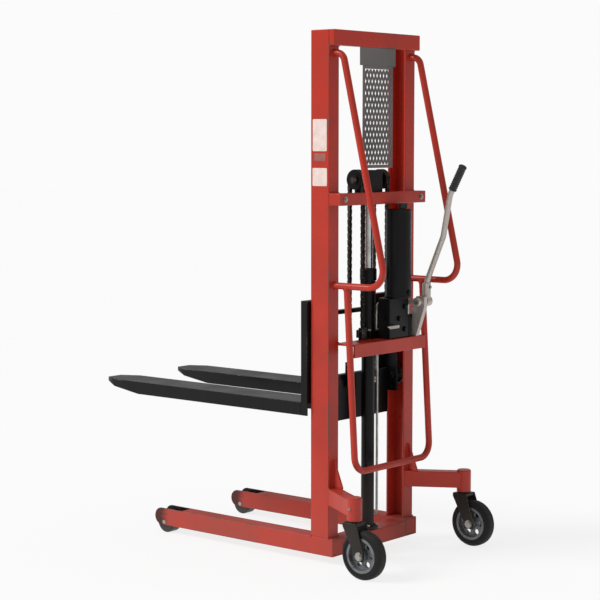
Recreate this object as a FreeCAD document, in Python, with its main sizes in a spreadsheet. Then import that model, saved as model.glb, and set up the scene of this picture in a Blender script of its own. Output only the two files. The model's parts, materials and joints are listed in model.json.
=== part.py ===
import FreeCAD, Part
import Sketcher
import math
import os

# Hand pallet stacker: a fixed mast on two front legs and two rear swivel casters, a lever pump
# that raises a ram, and a chain-hung fork carriage that rises twice as far as the ram.
# Millimetres. +X is the machine's left, +Y its rear (the operator's side), +Z up.
# The origin lies on the floor at the centre of the machine's plan.

doc = FreeCAD.newDocument("hand_pallet_stacker")
sheet = doc.addObject("Spreadsheet::Sheet", "dims")

# Driving dimensions
DIMENSIONS = {
    # mast
    "mast_height": 1980,
    "mast_width": 530,
    "column_depth": 85,
    "column_width": 60,
    "column_wall": 8,
    "top_beam_height": 58,
    "top_beam_depth": 24,
    "upper_tie_drop": 640,
    "upper_tie_height": 45,
    "upper_tie_depth": 35,
    "upper_tie_setback": 20,
    "shelf_drop": 1150,
    "shelf_depth": 90,
    "shelf_apron": 50,
    "plate_thickness": 8,
    # base and front legs
    "ground_clearance": 32,
    "leg_length": 902,
    "leg_overhang": 20,
    "leg_width": 70,
    "leg_height": 68,
    "leg_wall": 6,
    "leg_slot_length": 140,
    "leg_roller_radius": 44,
    "leg_roller_width": 50,
    "leg_roller_setback": 50,
    "leg_roller_side_gap": 2,
    "leg_pin_radius": 8,
    "base_beam_depth": 80,
    "base_beam_height": 60,
    # rear outriggers and swivel casters
    "caster_spread": 696,
    "caster_setback": 188,
    "caster_trail": 45,
    "outrigger_level": 226,
    "outrigger_width": 50,
    "outrigger_height": 62,
    "housing_radius": 28,
    "housing_drop": 16,
    "housing_lid": 8,
    "kingpin_radius": 12.5,
    "thrust_ring_radius": 24,
    "thrust_ring_height": 4,
    "crown_height": 12,
    "crown_depth": 60,
    "yoke_plate": 6,
    "yoke_side_gap": 4,
    "yoke_foot_half": 19,
    "wheel_radius": 90,
    "wheel_width": 45,
    "tyre_thickness": 26,
    "tyre_shoulder": 8,
    "hub_boss_radius": 21,
    "hub_rim_thickness": 10,
    "hub_web": 11,
    "hub_hole_radius": 11,
    "wheel_axle_radius": 10,
    "axle_head_radius": 16,
    "axle_head_height": 8,
    "gusset_reach": 45,
    "gusset_height": 105,
    # push handles and guard hoop
    "tube_radius": 12.5,
    "tube_wall": 2.5,
    "handle_top_drop": 85,
    "handle_top_reach": 42,
    "handle_low_drop": 935,
    "handle_low_reach": 243,
    "handle_top_bend": 35,
    "handle_low_bend": 62,
    "hoop_top_setback": 62,
    "hoop_low_setback": 103,
    "hoop_low_level": 357,
    "hoop_bend": 58,
    # mesh guard
    "header_width": 216,
    "header_height": 67,
    "header_depth": 4,
    "mesh_width": 184,
    "mesh_clearance": 90,
    "mesh_depth": 4,
    "mesh_border": 12,
    "mesh_pitch_across": 20,
    "mesh_pitch_up": 44,
    "mesh_strand": 6,
    # lift cylinder, ram, sheaves and chains
    "ram_inset": 20,
    "ram_radius": 17.5,
    "piston_gap": 5,
    "rest_stroke": 240,
    "gland_stop_gap": 3,
    "barrel_radius": 25,
    "barrel_bore": 21,
    "barrel_floor": 20,
    "barrel_drop": 931,
    "piston_height": 40,
    "foot_radius": 40,
    "foot_height": 14,
    "gland_radius": 32,
    "gland_height": 45,
    "clamp_half_width": 34,
    "clamp_wall": 7,
    "clamp_height": 30,
    "clamp_tail": 16,
    "crosshead_width": 100,
    "crosshead_depth": 60,
    "crosshead_height": 130,
    "sheave_rise": 95,
    "sheave_spread": 150,
    "sheave_radius": 38,
    "sheave_width": 24,
    "sheave_flange": 3,
    "groove_radius": 25,
    "sheave_axle_radius": 10,
    "sheave_collar_radius": 15,
    "sheave_clip_width": 6,
    "chain_width": 16,
    "chain_depth": 12,
    "anchor_width": 30,
    "anchor_depth": 18,
    "anchor_height": 46,
    "anchor_bolt_radius": 6,
    "anchor_bolt_tail": 30,
    # fork carriage
    "carriage_gap": 4,
    "carriage_bar_depth": 25,
    "carriage_side_gap": 10,
    "lower_bar_height": 175,
    "lower_bar_drop": 85,
    "upper_bar_rise": 320,
    "upper_bar_height": 16,
    "side_plate_height": 360,
    "side_plate_reach": 69,
    "side_plate_gap": 12,
    "guide_roller_gap": 0.5,
    "guide_roller_width": 36,
    "guide_end_gap": 8,
    "guide_roller_low": 60,
    "guide_roller_high": 315,
    "guide_axle_radius": 12,
    "guide_spacer_radius": 17,
    "guide_axle_tail": 8,
    "lug_height": 24,
    "lowest_fork_height": 125,
    "fork_length": 1070,
    "fork_width": 150,
    "fork_height": 50,
    "fork_wall": 6,
    "fork_spread": 414,
    "fork_tip_height": 18,
    "fork_tip_width": 70,
    "fork_taper": 210,
    "fork_nose": 75,
    "fork_solid_tip": 250,
    "shank_thickness": 30,
    "shank_height": 380,
    # hand pump
    "pump_inset": 138,
    "pump_width": 120,
    "pump_setback": 24,
    "pump_depth": 56,
    "pump_height": 155,
    "plunger_radius": 10,
    "plunger_wall": 9,
    "plunger_overlap": 3,
    "plunger_barrel_height": 85,
    "plunger_floor": 10,
    "plunger_rest_gap": 10,
    "plunger_cap_radius": 12,
    "plunger_cap_height": 6,
    "nose_gap": 2.2,
    "reservoir_radius": 50,
    "reservoir_gap": 20,
    "reservoir_wall": 4,
    "reservoir_setback": 76,
    "filler_radius": 17,
    "filler_bore": 11,
    "filler_height": 22,
    "filler_back": 19,
    "pipe_radius": 5,
    "pipe_offset": 58,
    "pipe_top_rise": 130,
    "pipe_foot_rise": 50,
    "pipe_bend": 15,
    "valve_inset": 32,
    "valve_rise": 48,
    "valve_stem_radius": 6,
    "valve_stem_seat": 20,
    "valve_stem_reach": 14,
    "valve_bar_length": 64,
    "valve_bar_height": 12,
    "valve_bar_depth": 9,
    # pump lever
    "lever_inset": 35,
    "lever_setback": 108,
    "lever_pivot_rise": 134,
    "rocker_radius": 10,
    "rocker_arm_width": 14,
    "rocker_arm_length": 46,
    "rocker_nose_radius": 8,
    "rocker_boss_radius": 17,
    "lever_hub_radius": 20,
    "lever_hub_width": 30,
    "lever_sleeve_radius": 17,
    "lever_sleeve_height": 70,
    "lever_sleeve_floor": 23,
    "lever_radius": 11,
    "lever_wall": 3,
    "lever_elbow_back": 77,
    "lever_elbow_rise": 250,
    "lever_neck_back": 107,
    "lever_neck_rise": 408,
    "lever_top_back": 164,
    "lever_top_rise": 515,
    "lever_bend": 70,
    "grip_length": 105,
    "grip_radius": 16,
    "grip_end": 6,
    "bracket_gap": 5,
    "bracket_width": 20,
    "bracket_foot": 40,
    "bracket_head": 40,
    # fasteners and fits
    "bolt_radius": 7,
    "bolt_head": 7,
    "running_fit": 0.05,
    "hair_gap": 0.3,
}
# Sizes that follow from the driving ones: what hangs on the mast keeps its drop below the mast's
# top, the ram fills the barrel, the lever and the pump keep their distance from the right column,
# and the guard and the reservoir fill the room above and below the upper tie.
DERIVED = {
    "upper_tie_level": "=mast_height - upper_tie_drop",
    "shelf_level": "=mast_height - shelf_drop",
    "handle_top_level": "=mast_height - handle_top_drop",
    "handle_low_level": "=mast_height - handle_low_drop",
    "header_foot": "=mast_height - top_beam_height - header_height",
    "mesh_height": "=header_foot - upper_tie_level - upper_tie_height - mesh_clearance",
    "barrel_height": "=mast_height - barrel_drop - ground_clearance - base_beam_height",
    "ram_length": "=barrel_height + gland_height + gland_stop_gap - barrel_floor - piston_gap",
    "lever_offset": "=(mast_width - column_width) / 2 - lever_inset",
    "pump_offset": "=lever_offset - pump_inset",
    "valve_offset": "=pump_offset - valve_inset",
    "reservoir_height": "=upper_tie_level - reservoir_gap - shelf_level - pump_height",
}
for row, (alias, content) in enumerate({**DIMENSIONS, **DERIVED}.items(), start=1):
    sheet.set(f"A{row}", alias)
    sheet.set(f"B{row}", str(content))
    sheet.setAlias(f"B{row}", alias)
doc.recompute()

# Places that several pieces share, as expressions on the sheet. Y is counted from the columns'
# rear faces, forwards negative.
FRONT_REACH = (
    "(dims.column_depth + dims.carriage_gap + dims.shank_thickness + dims.fork_length)"
)
REAR_REACH = "(dims.caster_setback + dims.caster_trail + dims.wheel_radius)"
REAR_PLANE = f"({FRONT_REACH} - {REAR_REACH}) / 2"
COLUMN_X = "(dims.mast_width - dims.column_width) / 2"
MAST_INNER = "(dims.mast_width / 2 - dims.column_width)"
LEG_TOP = "(dims.ground_clearance + dims.leg_height)"
LEG_INNER = "(dims.mast_width / 2 - dims.leg_width)"
LEG_ROLLER_Y = "(dims.leg_roller_setback - dims.leg_length)"
OUTRIGGER_TOP = "(dims.outrigger_level + dims.outrigger_height)"
HOUSING_FOOT = "(dims.outrigger_level - dims.housing_drop)"
CROWN_TOP = f"({HOUSING_FOOT} - dims.thrust_ring_height - dims.hair_gap)"
CASTER_X = "dims.caster_spread / 2"
CASTER_WHEEL_Y = "(dims.caster_setback + dims.caster_trail)"
YOKE_HALF = "(dims.wheel_width / 2 + dims.yoke_side_gap + dims.yoke_plate)"
BARREL_FOOT = "(dims.ground_clearance + dims.base_beam_height)"
BARREL_TOP = f"({BARREL_FOOT} + dims.barrel_height)"
RAM_TOP = f"({BARREL_TOP} + dims.gland_height + dims.gland_stop_gap + dims.rest_stroke)"
SHEAVE_Z = f"({RAM_TOP} + dims.sheave_rise)"
CHAIN_INNER = "(dims.groove_radius + dims.hair_gap)"
CHAIN_OUTER = f"({CHAIN_INNER} + dims.chain_depth)"
CHAIN_X = "dims.sheave_spread / 2"
FORK_TOP = "(dims.lowest_fork_height + 2 * dims.rest_stroke)"
CARRIAGE_FRONT = "(dims.column_depth + dims.carriage_gap)"
CARRIAGE_BACK = f"({CARRIAGE_FRONT} - dims.carriage_bar_depth)"
CARRIAGE_HALF = f"({LEG_INNER} - dims.carriage_side_gap)"
SIDE_PLATE_OUTER = f"({MAST_INNER} - dims.side_plate_gap)"
GUIDE_RADIUS = "(dims.column_depth / 2 - dims.column_wall - dims.guide_roller_gap)"
GUIDE_X = "(dims.mast_width / 2 - dims.column_wall - dims.guide_end_gap)"
LOWER_BAR_TOP = f"({FORK_TOP} - dims.lower_bar_drop + dims.lower_bar_height)"
LUG_FOOT = f"({LOWER_BAR_TOP} - dims.lug_height)"
PUMP_TOP = "(dims.shelf_level + dims.pump_height)"
PUMP_BACK = "(dims.pump_setback + dims.pump_depth)"
PLUNGER_X = (
    "-(dims.pump_offset + dims.pump_width / 2 + dims.plunger_radius"
    " + dims.plunger_wall - dims.plunger_overlap)"
)
PLUNGER_Y = "(dims.lever_setback - dims.rocker_arm_length)"
PIVOT_Z = "(dims.shelf_level + dims.lever_pivot_rise)"
PLUNGER_TOP = f"({PIVOT_Z} - dims.rocker_nose_radius - dims.nose_gap)"

ALONG = {
    "x": FreeCAD.Rotation(FreeCAD.Vector(0, 1, 0), 90),
    "y": FreeCAD.Rotation(FreeCAD.Vector(1, 0, 0), -90),
    "z": FreeCAD.Rotation(),
}
TURNED_ALONG = {
    "x": FreeCAD.Rotation(),
    "z": FreeCAD.Rotation(FreeCAD.Vector(0, 1, 0), -90),
}
nodes = {}


def value(text):
    """The size in millimetres that an expression on the sheet gives."""
    return float(sheet.evalExpression(text))


def node(label, piece):
    """Names a finished sub-part; its label becomes its file's name."""
    piece.Label = label
    nodes[label] = piece
    return piece


def place(piece, x, y, z, rotation=None):
    """Puts a piece's origin at a point, with y counted from the columns' rear faces."""
    if rotation is not None:
        piece.Placement = FreeCAD.Placement(FreeCAD.Vector(), rotation)
    piece.setExpression("Placement.Base.x", x)
    piece.setExpression("Placement.Base.y", f"{REAR_PLANE} + {y}")
    piece.setExpression("Placement.Base.z", z)
    return piece


def box(length, width, height, x, y, z):
    """A block from its low corner; length, width and height lie along X, Y and Z."""
    piece = doc.addObject("Part::Box", "block")
    piece.setExpression("Length", length)
    piece.setExpression("Width", width)
    piece.setExpression("Height", height)
    return place(piece, x, y, z)


def rod(axis, radius, length, x, y, z):
    """A round bar from the centre of its low end, along one axis."""
    piece = doc.addObject("Part::Cylinder", "rod")
    piece.setExpression("Radius", radius)
    piece.setExpression("Height", length)
    return place(piece, x, y, z, ALONG[axis])


def hex_head(axis, x, y, z):
    """A bolt's hexagonal head, from the centre of its seat."""
    piece = doc.addObject("Part::Prism", "bolt_head")
    piece.Polygon = 6
    piece.setExpression("Circumradius", "dims.bolt_radius")
    piece.setExpression("Height", "dims.bolt_head")
    return place(piece, x, y, z, ALONG[axis])


def fuse(*pieces):
    piece = doc.addObject("Part::MultiFuse", "joined")
    piece.Shapes = list(pieces)
    return piece


def cut(base, *tools):
    piece = doc.addObject("Part::Cut", "cut")
    piece.Base = base
    piece.Tool = tools[0] if len(tools) == 1 else fuse(*tools)
    return piece


def group(*pieces):
    """Separate solids that share one node."""
    piece = doc.addObject("Part::Compound", "set")
    piece.Links = list(pieces)
    return piece


def mirror(source):
    """The same piece on the machine's other side."""
    piece = doc.addObject("Part::Mirroring", "mirrored")
    piece.Source = source
    piece.Base = FreeCAD.Vector(0, 0, 0)
    piece.Normal = FreeCAD.Vector(1, 0, 0)
    return piece


def pair(name, piece):
    """A left piece and its mirrored right piece, as two nodes."""
    node(f"left_{name}", piece)
    node(f"right_{name}", mirror(piece))


def tie(sketch, line, kind, axis, text):
    """Ties one coordinate of a line's start to an expression, or to an axis where it is zero."""
    if text == "0":
        sketch.addConstraint(Sketcher.Constraint("PointOnObject", line, 1, axis))
        return
    number = sketch.addConstraint(Sketcher.Constraint(kind, -1, 1, line, 1, value(text)))
    sketch.setExpression(f"Constraints[{number}]", text)


def outline(body, plane, corners):
    """A closed sketch on one of a body's own planes, every corner tied to the sheet."""
    sketch = body.newObject("Sketcher::SketchObject", "outline")
    support = next(feature for feature in body.Origin.OriginFeatures if feature.Role == plane)
    sketch.AttachmentSupport = [(support, "")]
    sketch.MapMode = "FlatFace"
    points = [FreeCAD.Vector(value(across), value(up), 0) for across, up in corners]
    count = len(points)
    for index in range(count):
        sketch.addGeometry(Part.LineSegment(points[index], points[(index + 1) % count]))
    for index in range(count):
        sketch.addConstraint(Sketcher.Constraint("Coincident", index, 2, (index + 1) % count, 1))
    for index, (across, up) in enumerate(corners):
        tie(sketch, index, "DistanceX", -2, across)
        tie(sketch, index, "DistanceY", -1, up)
    return sketch


def padded(plane, corners, length, x, y, z):
    """A body padded from an outline: along +Z from the XY plane, along +X from the YZ plane."""
    body = doc.addObject("PartDesign::Body", "padded")
    feature = body.newObject("PartDesign::Pad", "pad")
    feature.Profile = outline(body, plane, corners)
    feature.setExpression("Length", length)
    body.Tip = feature
    return place(body, x, y, z)


def turned(axis, corners, x, y, z):
    """A body turned from an outline of (distance along the axis, radius) corners."""
    body = doc.addObject("PartDesign::Body", "turned")
    sketch = outline(body, "XY_Plane", corners)
    feature = body.newObject("PartDesign::Revolution", "turn")
    feature.Profile = sketch
    feature.ReferenceAxis = (sketch, ["H_Axis"])
    feature.Angle = 360
    body.Tip = feature
    return place(body, x, y, z, TURNED_ALONG[axis])


def ring(axis, outer, inner, length, x, y, z):
    """A plain bush, from the centre of its low end."""
    return cut(rod(axis, outer, length, x, y, z), rod(axis, inner, length, x, y, z))


def rounded_path(points, bends):
    """Straight runs through points, with a tangent arc of the given radius at each inner one."""
    edges = []
    start = points[0]
    for corner, following, radius in zip(points[1:-1], points[2:], bends):
        incoming = (corner - start).normalize()
        outgoing = (following - corner).normalize()
        turn = incoming.getAngle(outgoing)
        setback = radius * math.tan(turn / 2)
        arc_start = corner - incoming * setback
        arc_end = corner + outgoing * setback
        inward = (outgoing - incoming).normalize()
        arc_middle = corner + inward * (radius / math.cos(turn / 2) - radius)
        edges.append(Part.LineSegment(start, arc_start).toShape())
        edges.append(Part.Arc(arc_start, arc_middle, arc_end).toShape())
        start = arc_end
    edges.append(Part.LineSegment(start, points[-1]).toShape())
    return Part.Wire(edges)


def swept(points, bends, radius):
    """A round bar along a rounded path."""
    path = rounded_path(points, bends)
    across = Part.Wire(Part.makeCircle(radius, points[0], points[1] - points[0]))
    return path.makePipeShell([across], True, False)


def tube(points, bends, radius, wall):
    """A round tube along a rounded path."""
    return swept(points, bends, radius).cut(swept(points, bends, radius - wall))


def shaped(shape):
    """A piece whose shape is worked out in code from the sheet's sizes."""
    piece = doc.addObject("Part::Feature", "shaped")
    piece.Shape = shape
    return place(piece, "0", "0", "0")


def vector(x, y, z):
    """A point from expressions on the sheet, y counted from the columns' rear faces."""
    return FreeCAD.Vector(value(x), value(y), value(z))


def make_mast():
    """Two inward-facing channels, tied at the top, twice behind, and by the base beam."""
    depth, width, wall = "dims.column_depth", "dims.column_width", "dims.column_wall"
    channel = [
        ("0", "0"),
        (width, "0"),
        (width, depth),
        ("0", depth),
        ("0", f"{depth} - {wall}"),
        (f"{width} - {wall}", f"{depth} - {wall}"),
        (f"{width} - {wall}", wall),
        ("0", wall),
    ]
    height = f"dims.mast_height - {LEG_TOP}"
    pair("column", padded("XY_Plane", channel, height, MAST_INNER, f"-{depth}", LEG_TOP))

    beam_foot = "dims.mast_height - dims.top_beam_height"
    beam = box("dims.mast_width", "dims.top_beam_depth", "dims.top_beam_height",
               "-dims.mast_width / 2", "0", beam_foot)
    node("top_beam", beam)

    bar = box("dims.mast_width", "dims.upper_tie_depth", "dims.upper_tie_height",
              "-dims.mast_width / 2", "dims.upper_tie_setback", "dims.upper_tie_level")
    ends = [
        box("dims.column_width", "dims.upper_tie_setback", "dims.upper_tie_height",
            corner, "0", "dims.upper_tie_level")
        for corner in ("-dims.mast_width / 2", MAST_INNER)
    ]
    node("upper_tie", fuse(bar, *ends))

    half = f"({COLUMN_X} - dims.tube_radius - dims.hair_gap)"
    top = box(f"2 * {half}", "dims.shelf_depth", "dims.plate_thickness",
              f"-{half}", "0", "dims.shelf_level - dims.plate_thickness")
    apron = box(f"2 * {half}", "dims.plate_thickness", "dims.shelf_apron",
                f"-{half}", "dims.shelf_depth - dims.plate_thickness",
                "dims.shelf_level - dims.shelf_apron")
    notch = rod("z", "dims.barrel_radius + dims.hair_gap", "dims.plate_thickness", "0",
                "-dims.ram_inset", "dims.shelf_level - dims.plate_thickness")
    node("pump_shelf", cut(fuse(top, apron), notch))

    span = f"2 * {LEG_INNER}"
    beam_front = "dims.leg_overhang - dims.base_beam_depth"
    solid = box(span, "dims.base_beam_depth", "dims.base_beam_height",
                f"-{LEG_INNER}", beam_front, "dims.ground_clearance")
    hollow = box(span, "dims.base_beam_depth - 2 * dims.leg_wall",
                 "dims.base_beam_height - 2 * dims.leg_wall",
                 f"-{LEG_INNER}", f"{beam_front} + dims.leg_wall",
                 "dims.ground_clearance + dims.leg_wall")
    node("base_beam", cut(solid, hollow))


def make_legs():
    """Box legs with a round, slotted toe that holds a load roller on a pin."""
    round_radius = "dims.leg_height / 2"
    middle_z = f"(dims.ground_clearance + {round_radius})"
    run = box("dims.leg_width", f"dims.leg_length + dims.leg_overhang - {round_radius}",
              "dims.leg_height", LEG_INNER, f"{round_radius} - dims.leg_length",
              "dims.ground_clearance")
    toe = rod("x", round_radius, "dims.leg_width", LEG_INNER,
              f"{round_radius} - dims.leg_length", middle_z)
    slot_width = "(dims.leg_roller_width + 2 * dims.leg_roller_side_gap)"
    cheek = f"(dims.leg_width - {slot_width}) / 2"
    slot = box(slot_width, "dims.leg_slot_length + dims.leg_wall", "dims.leg_height",
               f"{LEG_INNER} + {cheek}", "-dims.leg_length - dims.leg_wall",
               "dims.ground_clearance")
    hollow_start = "(dims.leg_slot_length + dims.leg_wall - dims.leg_length)"
    hollow = box("dims.leg_width - 2 * dims.leg_wall", f"dims.leg_overhang - {hollow_start}",
                 "dims.leg_height - 2 * dims.leg_wall", f"{LEG_INNER} + dims.leg_wall",
                 hollow_start, "dims.ground_clearance + dims.leg_wall")
    pin_hole = rod("x", "dims.leg_pin_radius", "dims.leg_width", LEG_INNER,
                   LEG_ROLLER_Y, "dims.leg_roller_radius")
    pair("leg", cut(fuse(run, toe), slot, hollow, pin_hole))

    width, radius = "dims.leg_roller_width", "dims.leg_roller_radius"
    bore = "dims.leg_pin_radius + dims.running_fit"
    bevel = "dims.leg_roller_side_gap * 2"
    roller = [
        ("0", bore),
        (width, bore),
        (width, f"{radius} - {bevel}"),
        (f"{width} - {bevel}", radius),
        (bevel, radius),
        ("0", f"{radius} - {bevel}"),
    ]
    start = f"{LEG_INNER} + {cheek} + dims.leg_roller_side_gap"
    pair("leg_roller", turned("x", roller, start, LEG_ROLLER_Y, radius))
    pin = rod("x", "dims.leg_pin_radius", "dims.leg_width", LEG_INNER, LEG_ROLLER_Y, radius)
    node("leg_roller_pins", group(pin, mirror(pin)))


def make_outriggers():
    """Beams splayed from the columns' feet to the caster housings, with gussets above."""
    run_x = f"({CASTER_X} - {COLUMN_X})"
    run_y = "dims.caster_setback"
    length = f"sqrt({run_x} ^ 2 + {run_y} ^ 2)"
    half = "dims.outrigger_width / 2"
    root_half = f"{half} * {length} / {run_y}"
    aside = f"{half} * {run_y} / {length}"
    along = f"{half} * {run_x} / {length}"
    plan = [
        (f"{COLUMN_X} - {root_half}", "0"),
        (f"{COLUMN_X} + {root_half}", "0"),
        (f"{CASTER_X} + {aside}", f"{run_y} - {along}"),
        (f"{CASTER_X} - {aside}", f"{run_y} + {along}"),
    ]
    beam = padded("XY_Plane", plan, "dims.outrigger_height", "0", "0", "dims.outrigger_level")
    housing_height = f"{OUTRIGGER_TOP} + dims.housing_lid - {HOUSING_FOOT}"
    housing = rod("z", "dims.housing_radius", housing_height, CASTER_X, run_y, HOUSING_FOOT)
    bore = rod("z", "dims.kingpin_radius + dims.running_fit", f"{OUTRIGGER_TOP} - {HOUSING_FOOT}",
               CASTER_X, run_y, HOUSING_FOOT)
    triangle = [("0", "0"), ("dims.gusset_reach", "0"), ("0", "dims.gusset_height")]
    gusset = padded("YZ_Plane", triangle, "dims.plate_thickness",
                    f"{COLUMN_X} - dims.plate_thickness / 2", "0", OUTRIGGER_TOP)
    pair("outrigger", cut(fuse(beam, housing, gusset), bore))


def make_casters():
    """Swivel yokes with their kingpins, wheels of a holed hub in a rubber tyre, and axles."""
    x, swivel_y, wheel_y = CASTER_X, "dims.caster_setback", CASTER_WHEEL_Y
    axle_z = "dims.wheel_radius"
    crown = box(f"2 * {YOKE_HALF}", "dims.crown_depth", "dims.crown_height",
                f"{x} - {YOKE_HALF}", f"{swivel_y} - dims.crown_depth / 2",
                f"{CROWN_TOP} - dims.crown_height")
    thrust = rod("z", "dims.thrust_ring_radius", "dims.thrust_ring_height", x, swivel_y, CROWN_TOP)
    kingpin = rod("z", "dims.kingpin_radius", f"{OUTRIGGER_TOP} - {CROWN_TOP} - dims.thrust_ring_height",
                  x, swivel_y, CROWN_TOP)
    foot = "dims.yoke_foot_half"
    foot_middle = "(dims.crown_depth / 2 + dims.caster_trail)"
    top = f"({CROWN_TOP} - {axle_z} + {foot})"
    cheek_outline = [
        ("0", top),
        ("0", f"{top} - dims.crown_height"),
        (f"{foot_middle} - {foot}", foot),
        (f"{foot_middle} - {foot}", "0"),
        (f"{foot_middle} + {foot}", "0"),
        (f"{foot_middle} + {foot}", f"2 * {foot}"),
        ("dims.crown_depth", top),
    ]
    cheeks = [
        padded("YZ_Plane", cheek_outline, "dims.yoke_plate", corner,
               f"{swivel_y} - dims.crown_depth / 2", f"{axle_z} - {foot}")
        for corner in (f"{x} - {YOKE_HALF}", f"{x} + {YOKE_HALF} - dims.yoke_plate")
    ]
    axle_hole = rod("x", "dims.wheel_axle_radius", f"2 * {YOKE_HALF}", f"{x} - {YOKE_HALF}",
                    wheel_y, axle_z)
    pair("caster_yoke", cut(fuse(crown, thrust, kingpin, *cheeks), axle_hole))

    radius, head = "dims.wheel_axle_radius", "dims.axle_head_height"
    length = f"(2 * {YOKE_HALF} + 2 * {head})"
    axle = [
        ("0", "0"),
        (length, "0"),
        (length, "dims.axle_head_radius"),
        (f"{length} - {head}", "dims.axle_head_radius"),
        (f"{length} - {head}", radius),
        (head, radius),
        (head, "dims.axle_head_radius"),
        ("0", "dims.axle_head_radius"),
    ]
    pair("caster_axle", turned("x", axle, f"{x} - {length} / 2", wheel_y, axle_z))

    width = "dims.wheel_width"
    rim = "(dims.wheel_radius - dims.tyre_thickness)"
    bore = "dims.wheel_axle_radius + dims.running_fit"
    boss = "dims.hub_boss_radius"
    rim_inner = f"({rim} - dims.hub_rim_thickness)"
    web_low = f"({width} - dims.hub_web) / 2"
    web_high = f"({width} + dims.hub_web) / 2"
    hub = [
        ("0", bore),
        (width, bore),
        (width, boss),
        (web_high, boss),
        (web_high, rim_inner),
        (width, rim_inner),
        (width, rim),
        ("0", rim),
        ("0", rim_inner),
        (web_low, rim_inner),
        (web_low, boss),
        ("0", boss),
    ]
    wheel_x = f"{x} - {width} / 2"
    disc = turned("x", hub, wheel_x, wheel_y, axle_z)
    hole_circle = f"({boss} + {rim_inner}) / 2"
    holes = []
    hole_count = 6
    for index in range(hole_count):
        angle = 360 * index / hole_count
        holes.append(rod("x", "dims.hub_hole_radius", width, wheel_x,
                         f"{wheel_y} + {hole_circle} * cos({angle})",
                         f"{axle_z} + {hole_circle} * sin({angle})"))
    pair("caster_hub", cut(disc, *holes))

    shoulder = "dims.tyre_shoulder"
    tyre = [
        ("0", rim),
        (width, rim),
        (width, f"{axle_z} - {shoulder}"),
        (f"{width} - {shoulder}", axle_z),
        (shoulder, axle_z),
        ("0", f"{axle_z} - {shoulder}"),
    ]
    pair("caster_tyre", turned("x", tyre, wheel_x, wheel_y, axle_z))


def make_handles():
    """A long bent push handle behind each column, and the hoop that hangs below them."""
    radius, wall = value("dims.tube_radius"), value("dims.tube_wall")
    handle = [
        vector(COLUMN_X, "0", "dims.handle_top_level"),
        vector(COLUMN_X, "dims.handle_top_reach", "dims.handle_top_level"),
        vector(COLUMN_X, "dims.handle_low_reach", "dims.handle_low_level"),
        vector(COLUMN_X, "0", "dims.handle_low_level"),
    ]
    bends = [value("dims.handle_top_bend"), value("dims.handle_low_bend")]
    pair("push_handle", shaped(tube(handle, bends, radius, wall)))

    hoop = [
        vector(COLUMN_X, "dims.hoop_top_setback", "dims.handle_low_level"),
        vector(COLUMN_X, "dims.hoop_low_setback", "dims.hoop_low_level"),
        vector(f"-{COLUMN_X}", "dims.hoop_low_setback", "dims.hoop_low_level"),
        vector(f"-{COLUMN_X}", "dims.hoop_top_setback", "dims.handle_low_level"),
    ]
    hanging = tube(hoop, [value("dims.hoop_bend")] * 2, radius, wall)
    for end in (hoop[0], hoop[-1]):
        rail = Part.makeCylinder(radius, 4 * radius, end - FreeCAD.Vector(0, 2 * radius, 0),
                                 FreeCAD.Vector(0, 1, 0))
        hanging = hanging.cut(rail)
    node("guard_hoop", shaped(hanging))


def make_mesh_guard():
    """A plate under the top beam and an expanded-metal panel from it to above the upper tie."""
    front = "dims.top_beam_depth - dims.header_depth"
    header = box("dims.header_width", "dims.header_depth", "dims.header_height",
                 "-dims.header_width / 2", front, "dims.header_foot")
    node("guard_header", header)

    width, height = value("dims.mesh_width"), value("dims.mesh_height")
    border, strand = value("dims.mesh_border"), value("dims.mesh_strand")
    pitch_across, pitch_up = value("dims.mesh_pitch_across"), value("dims.mesh_pitch_up")
    y, top = value(front), value("dims.header_foot")

    def loop(corners):
        points = [FreeCAD.Vector(across, y, top - height + up) for across, up in corners]
        return Part.makePolygon(points + points[:1])

    rim = loop([(-width / 2, 0), (width / 2, 0), (width / 2, height), (-width / 2, height)])
    reach_across = (pitch_across - strand) / 2
    reach_up = (pitch_up - strand * pitch_up / pitch_across) / 2
    gaps = []
    row_count = int(2 * (height - 2 * border - pitch_up) / pitch_up) + 1
    lowest = (height - (row_count - 1) * pitch_up / 2) / 2
    for row in range(row_count):
        middle_up = lowest + row * pitch_up / 2
        across_count = int((width - 2 * border) / pitch_across) - row % 2
        for column in range(across_count):
            middle = (column - (across_count - 1) / 2) * pitch_across
            diamond = [
                (middle - reach_across, middle_up),
                (middle, middle_up - reach_up),
                (middle + reach_across, middle_up),
                (middle, middle_up + reach_up),
            ]
            gaps.append(loop(diamond))
    face = Part.makeFace([rim] + gaps, "Part::FaceMakerBullseye")
    panel = face.extrude(FreeCAD.Vector(0, value("dims.mesh_depth"), 0))
    node("mesh_guard", shaped(panel))


def make_cylinder():
    """The lift cylinder on the base beam, its foot ring, gland nut and clamp to the shelf."""
    y = "-dims.ram_inset"
    height, bore = "dims.barrel_height", "dims.barrel_bore"
    barrel = [
        ("0", "0"),
        ("dims.barrel_floor", "0"),
        ("dims.barrel_floor", bore),
        (height, bore),
        (height, "dims.barrel_radius"),
        ("0", "dims.barrel_radius"),
    ]
    node("cylinder_barrel", turned("z", barrel, "0", y, BARREL_FOOT))
    node("cylinder_foot", ring("z", "dims.foot_radius", "dims.barrel_radius",
                               "dims.foot_height", "0", y, BARREL_FOOT))
    node("cylinder_gland", ring("z", "dims.gland_radius", "dims.ram_radius + dims.running_fit",
                                "dims.gland_height", "0", y, BARREL_TOP))
    front = "(dims.ram_inset + dims.barrel_radius + dims.clamp_wall)"
    block = box("2 * dims.clamp_half_width", f"{front} + dims.clamp_tail", "dims.clamp_height",
                "-dims.clamp_half_width", f"-{front}", "dims.shelf_level")
    hole = rod("z", "dims.barrel_radius", "dims.clamp_height", "0", y, "dims.shelf_level")
    node("cylinder_clamp", cut(block, hole))


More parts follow.
